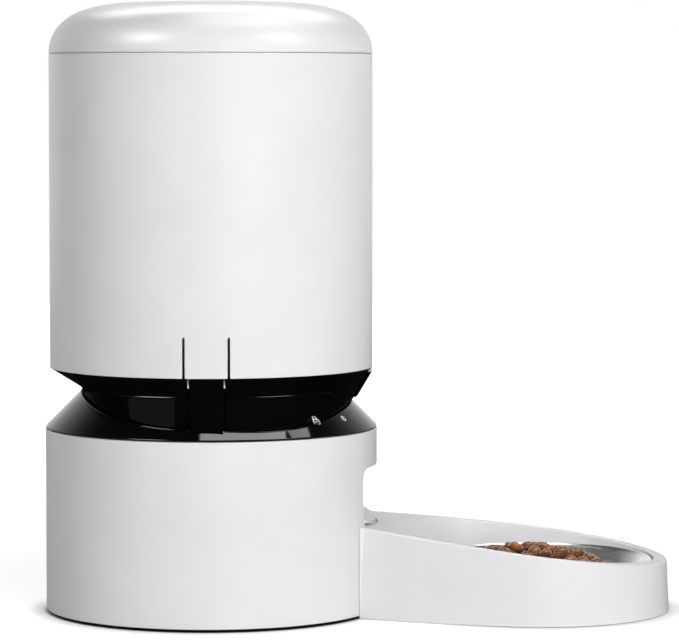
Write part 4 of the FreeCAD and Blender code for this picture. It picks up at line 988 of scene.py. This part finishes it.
# kibble
kibbleSizes = {"width": 10.4 * mm, "thick": 6.0 * mm, "narrow": 0.82, "waist": 0.12, "crease": 0.16,
               "creaseWidth": 0.28, "heapRadius": 55 * mm, "heapX": -4 * mm, "heapHeight": 28.5 * mm,
               "fall": 0.62, "fallPower": 2.4, "ripple": 1.3 * mm, "rippleX": 7 * mm, "rippleY": 9 * mm,
               "rings": 14, "spokes": 48, "layers": 3, "layerDrop": 5.2 * mm, "packing": 0.78,
               "density": 40000.0, "tilt": 0.7, "smallest": 0.88, "largest": 1.1, "seed": 7}


def kibbleShape(s):
    # one baked pellet: a puffed lozenge with a soft crease
    work = bmesh.new()
    bmesh.ops.create_icosphere(work, subdivisions=2, radius=1)
    for v in work.verts:
        crease = 1 - s["crease"] * math.exp(-(v.co.y / s["creaseWidth"]) ** 2)
        v.co.x *= s["width"] / 2 * (1 - s["waist"] * v.co.y ** 2)
        v.co.y *= s["width"] / 2 * s["narrow"]
        v.co.z *= s["thick"] / 2 * crease
    pellet = newMesh("pellet", [])
    work.to_mesh(pellet.data)
    work.free()
    pellet.data.shade_smooth()
    return pellet


def heapSurface(layer, s):
    # a mound that fills the bowl, lower for each deeper layer
    floor = bowlLow.z + bowlSizes["thick"] + s["thick"] * 0.5
    centreX, rings, spokes = bowlX + s["heapX"], s["rings"], s["spokes"]
    flat = [(centreX, 0)]
    for i in range(1, rings + 1):
        reach = s["heapRadius"] * i / rings
        flat += [(centreX + reach * math.cos(math.tau * k / spokes),
                  reach * math.sin(math.tau * k / spokes)) for k in range(spokes)]
    points = []
    for x, y in flat:
        away = math.hypot(x - bowlX - s["heapX"], y) / s["heapRadius"]
        ripple = s["ripple"] * math.sin(x / s["rippleX"]) * math.cos(y / s["rippleY"])
        height = s["heapHeight"] * (1 - s["fall"] * away ** s["fallPower"]) + ripple
        points.append((x, y, floor + max(0.0, height - layer * s["layerDrop"])))
    faces = [(0, 1 + k, 1 + (k + 1) % spokes) for k in range(spokes)]
    for start in range(1, 1 + (rings - 1) * spokes, spokes):
        for k in range(spokes):
            a, b = start + k, start + (k + 1) % spokes
            faces.append((a, b, b + spokes, a + spokes))
    return points, faces


def makeScatterTree(s):
    # pellets strewn over the mound, each turned and sized its own way
    tree = bpy.data.node_groups.new("kibbleScatter", "GeometryNodeTree")
    face = tree.interface
    face.new_socket("Geometry", in_out="OUTPUT", socket_type="NodeSocketGeometry")
    for name, kind in (("Geometry", "NodeSocketGeometry"), ("Pellet", "NodeSocketObject"),
                       ("Spacing", "NodeSocketFloat"), ("Seed", "NodeSocketInt"),
                       ("Finish", "NodeSocketMaterial")):
        face.new_socket(name, in_out="INPUT", socket_type=kind)
    given = addNode(tree, "NodeGroupInput")
    strewn = addNode(tree, "GeometryNodeDistributePointsOnFaces",
                     {"Mesh": given.outputs["Geometry"], "Distance Min": given.outputs["Spacing"],
                      "Density Max": s["density"], "Seed": given.outputs["Seed"]},
                     distribute_method="POISSON")
    pelletInfo = addNode(tree, "GeometryNodeObjectInfo", {"Object": given.outputs["Pellet"]})
    turn = addNode(tree, "FunctionNodeRandomValue",
                   {0: (-s["tilt"], -s["tilt"], 0.0), 1: (s["tilt"], s["tilt"], 6.28),
                    "Seed": given.outputs["Seed"]}, data_type="FLOAT_VECTOR")
    size = addNode(tree, "FunctionNodeRandomValue",
                   {2: s["smallest"], 3: s["largest"], "Seed": given.outputs["Seed"]},
                   data_type="FLOAT")
    placed = addNode(tree, "GeometryNodeInstanceOnPoints",
                     {"Points": strewn.outputs["Points"], "Instance": pelletInfo.outputs["Geometry"],
                      "Rotation": turn.outputs[0], "Scale": size.outputs[1]})
    real = addNode(tree, "GeometryNodeRealizeInstances", {"Geometry": placed.outputs[0]})
    painted = addNode(tree, "GeometryNodeSetMaterial",
                      {"Geometry": real.outputs[0], "Material": given.outputs["Finish"]})
    addNode(tree, "NodeGroupOutput", {"Geometry": painted.outputs[0]})
    return tree


def makeKibble(s):
    pellet = kibbleShape(s)
    tree = makeScatterTree(s)
    made = []
    for layer in range(s["layers"]):
        heap = newMesh("kibbleLayer%d" % layer, *heapSurface(layer, s))
        scatter = heap.modifiers.new("scatter", "NODES")
        scatter.node_group = tree
        for name, value in (("Pellet", pellet), ("Spacing", s["width"] * s["packing"]),
                            ("Seed", s["seed"] + layer), ("Finish", kibbleSkin)):
            setInput(scatter, name, value)
        made.append(settle(heap))
    kibble = made[0]
    mergeInto(kibble, made[1:])
    kibble.name = "kibbleServing"
    bpy.data.objects.remove(pellet)
    kibble.data.shade_smooth()
    kibble.visible_glossy = False
    finishPiece(kibble, kibbleSkin, "bowl")


makeKibble(kibbleSizes)
print("kibble made")

# floor, light and camera
studio = {"floorSize": 6.0, "camera": (-11.1 * mm, -2131.0 * mm, 315.4 * mm), "pitch": 86.2,
          "lens": 187.53, "sensor": 36, "farthest": 50, "ambient": 0.28, "mattSweep": 0.3,
          "frontDark": 0.02, "backdrop": 0.85, "floorLift": 0.5, "farLift": 0.5, "farStart": 0.3,
          "farEnd": 0.9, "gapInside": 3 * mm, "gapOutside": 12 * mm, "gapEdge": (0.1, 0.3)}


def makeFloor(s):
    # pale floor; painted reflection: for glossy rays its colour is dark grey, so the polished parts see a
    # dark room instead of it, as they would over a flagged-off sweep
    half = s["floorSize"] / 2
    floor = newMesh("studioFloor", [(-half, -half, 0), (half, -half, 0), (half, half, 0),
                                    (-half, half, 0)], [(0, 1, 2, 3)])
    material, tree, shader = startMaterial("paintedStudioFloor", "#F2F2F3", 0.7)
    shader.inputs["Specular IOR Level"].default_value = 0.0
    path = addNode(tree, "ShaderNodeLightPath")
    place = addNode(tree, "ShaderNodeTexCoord").outputs["Object"]
    pale = mixColours(tree, spread(tree, patternNoise(tree, 8.0), 0, 1), "#F1F1F2", "#F4F4F5")
    # painted shadow: a dark grey colour in the gap under the base, where no lamp reaches; the base never
    # moves off it
    near = []
    for x, radius in ((axisX, baseRadius), (bowlX, trayHigh.x - bowlX)):
        away = addNode(tree, "ShaderNodeVectorMath", {0: place, 1: (x, 0, 0)}, operation="DISTANCE")
        near.append(addNode(tree, "ShaderNodeMapRange",
                            {"Value": away.outputs["Value"], "From Min": radius - s["gapInside"],
                             "From Max": radius + s["gapOutside"]}))
    edge = addNode(tree, "ShaderNodeMapRange", {"Value": near[0], "From Min": s["gapEdge"][0],
                                                "From Max": s["gapEdge"][1]})
    shade, seen = (addNode(tree, "ShaderNodeMix", data_type="RGBA") for i in range(2))
    plug(tree, shade, {0: edge, 6: linearColour("#3A3A3C"), 7: pale})
    # painted reflection: glossy rays see the floor as dark grey
    plug(tree, seen, {0: path.outputs["Is Glossy Ray"], 6: shade.outputs[2],
                      7: linearColour("#202022")})
    plug(tree, shader, {"Base Color": seen.outputs[2]})
    # painted light: an emission glow, seen by the camera only, lifts the floor towards white away from the
    # feeder
    clear = addNode(tree, "ShaderNodeMath", {0: near[0], 1: near[1]}, operation="MINIMUM")
    both = addNode(tree, "ShaderNodeMath", {0: clear, 1: s["floorLift"]}, operation="MULTIPLY")
    far = addNode(tree, "ShaderNodeVectorMath", {0: place}, operation="LENGTH")
    more = addNode(tree, "ShaderNodeMapRange",
                   {"Value": far.outputs["Value"], "From Min": s["farStart"], "From Max": s["farEnd"],
                    "To Min": 0.0, "To Max": s["farLift"]})
    total = addNode(tree, "ShaderNodeMath", {0: both, 1: more}, operation="ADD")
    lift = addNode(tree, "ShaderNodeMath", {0: path.outputs["Is Camera Ray"], 1: total},
                   operation="MULTIPLY")
    shader.inputs["Emission Color"].default_value = (1, 1, 1, 1)
    plug(tree, shader, {"Emission Strength": lift})
    floor.data.materials.append(material)


def makeWorld(s):
    # white sweep behind, dark room in front and above, even soft light for the matt parts
    world = bpy.data.worlds.new("studioWorld")
    scene.world = world
    world.use_nodes = True
    tree = world.node_tree
    back = tree.nodes["Background"]
    coords = addNode(tree, "ShaderNodeTexCoord")
    way = addNode(tree, "ShaderNodeSeparateXYZ", {0: coords.outputs["Generated"]})
    behind = addNode(tree, "ShaderNodeMapRange", {"Value": way.outputs["Y"], "From Min": 0.05,
                                                  "From Max": 0.75}, interpolation_type="SMOOTHSTEP")
    low = addNode(tree, "ShaderNodeMapRange", {"Value": way.outputs["Z"], "From Min": 0.1,
                                               "From Max": 0.78, "To Min": 1.0, "To Max": 0.0},
                  interpolation_type="SMOOTHSTEP")
    sweep = addNode(tree, "ShaderNodeMath", {0: behind, 1: low}, operation="MULTIPLY")
    shiny = addNode(tree, "ShaderNodeMath", {0: sweep, 1: s["backdrop"], 2: s["frontDark"]},
                    operation="MULTIPLY_ADD")
    matt = addNode(tree, "ShaderNodeMath", {0: sweep, 1: s["mattSweep"], 2: s["ambient"]},
                   operation="MULTIPLY_ADD")
    path = addNode(tree, "ShaderNodeLightPath")
    light = addNode(tree, "ShaderNodeMix", data_type="FLOAT")
    plug(tree, light, {0: path.outputs["Is Glossy Ray"], 2: matt, 3: shiny})
    seen = addNode(tree, "ShaderNodeMix", data_type="FLOAT")
    plug(tree, seen, {0: path.outputs["Is Camera Ray"], 2: light.outputs[0], 3: 1.0})
    back.inputs["Color"].default_value = (1, 1, 1, 1)
    plug(tree, back, {"Strength": seen.outputs[0]})


def makeCamera(s):
    camera = bpy.data.objects.new("camera", bpy.data.cameras.new("camera"))
    camera.location = s["camera"]
    camera.rotation_euler = (math.radians(s["pitch"]), 0, 0)
    camera.data.lens = s["lens"]
    camera.data.sensor_width = s["sensor"]
    camera.data.clip_end = s["farthest"]
    scene.collection.objects.link(camera)
    scene.camera = camera


# bright is watts per square metre of panel; seenBy says which kinds of surface it works on
# kept out of the edge lights, which are for the black gloss
bowlPieces = ["steelBowlSpun", "kibbleServing"]
softboxes = {
    "keyRight": {"at": (0.75, -2.0, 0.75), "aim": (-0.05, 0, 0.2), "size": (1.1, 1.5),
                 "bright": 19.5, "seenBy": "matt"},
    "rimLeft": {"at": (-1.2, 1.3, 0.5), "aim": (-0.09, 0, 0.2), "size": (0.5, 1.3),
                "bright": 17.0, "seenBy": "matt"},
    "overhead": {"at": (0.19, 0.05, 1.3), "aim": (0.19, 0.05, 0), "size": (0.74, 0.7),
                 "bright": 16.0, "seenBy": "shiny"},
    "overheadSoft": {"at": (0.2, 0.05, 1.3), "aim": (0.2, 0.05, 0), "size": (0.71, 0.7),
                     "bright": 6.0, "seenBy": "matt"},
    "edgeBack": {"at": (-0.05, 0.9, 1.3), "aim": (-0.05, 0.3, 0), "size": (1.3, 0.35),
                 "bright": 30.0, "seenBy": "shiny", "skips": bowlPieces},
    "overheadFar": {"at": (0.675, 0.42, 1.3), "aim": (0.675, 0.42, 0), "size": (0.2, 0.6),
                    "bright": 10.0, "seenBy": "shiny"},
    "cardLeft": {"at": (-0.55, -0.4, 0.15), "aim": (-0.09, 0, 0.14), "size": (0.5, 0.5),
                 "bright": 0.4, "seenBy": "shiny"},
    "edgeLeft": {"at": (-0.95, -0.75, 1.1), "aim": (-0.09, 0, 0.14), "size": (0.6, 0.5),
                 "bright": 50.0, "seenBy": "shiny", "skips": bowlPieces},
    "edgeRight": {"at": (0.9, -0.6, 1.1), "aim": (-0.09, 0, 0.14), "size": (0.6, 0.5),
                  "bright": 22.0, "seenBy": "shiny", "skips": bowlPieces},
    "bowlFront": {"at": (0.3, -1.3, 0.35), "aim": (0.11, 0, 0.05), "size": (2.4, 0.8),
                  "bright": 1.3, "seenBy": "shiny", "only": bowlPieces},
    "bowlBack": {"at": (0.3, 1.3, 0.35), "aim": (0.11, 0, 0.05), "size": (2.4, 0.8),
                 "bright": 1.3, "seenBy": "shiny", "only": bowlPieces},
    "bowlRight": {"at": (1.4, 0, 0.35), "aim": (0.11, 0, 0.05), "size": (1.6, 0.8),
                  "bright": 1.0, "seenBy": "shiny", "only": bowlPieces},
}


def makeSoftbox(name, s):
    lamp = bpy.data.lights.new(name, "AREA")
    lamp.shape = "RECTANGLE"
    lamp.size, lamp.size_y = s["size"]
    lamp.energy = s["bright"] * s["size"][0] * s["size"][1]
    obj = bpy.data.objects.new(name, lamp)
    obj.location = s["at"]
    obj.rotation_euler = (Vector(s["aim"]) - Vector(s["at"])).to_track_quat("-Z", "Y").to_euler()
    obj.visible_camera = False
    obj.visible_glossy = s["seenBy"] != "matt"
    obj.visible_diffuse = s["seenBy"] != "shiny"
    scene.collection.objects.link(obj)
    for state in ("skips", "only"):
        if state not in s:
            continue
        linked = bpy.data.collections.new(name + "Links")
        obj.light_linking.receiver_collection = linked
        for piece in s[state]:
            linked.objects.link(bpy.data.objects[piece])
        for row in linked.collection_objects:
            row.light_linking.link_state = "EXCLUDE" if state == "skips" else "INCLUDE"


makeFloor(studio)
makeWorld(studio)
makeCamera(studio)
for name, sizes in softboxes.items():
    makeSoftbox(name, sizes)
scene.view_settings.view_transform = "Standard"
print("studio made")
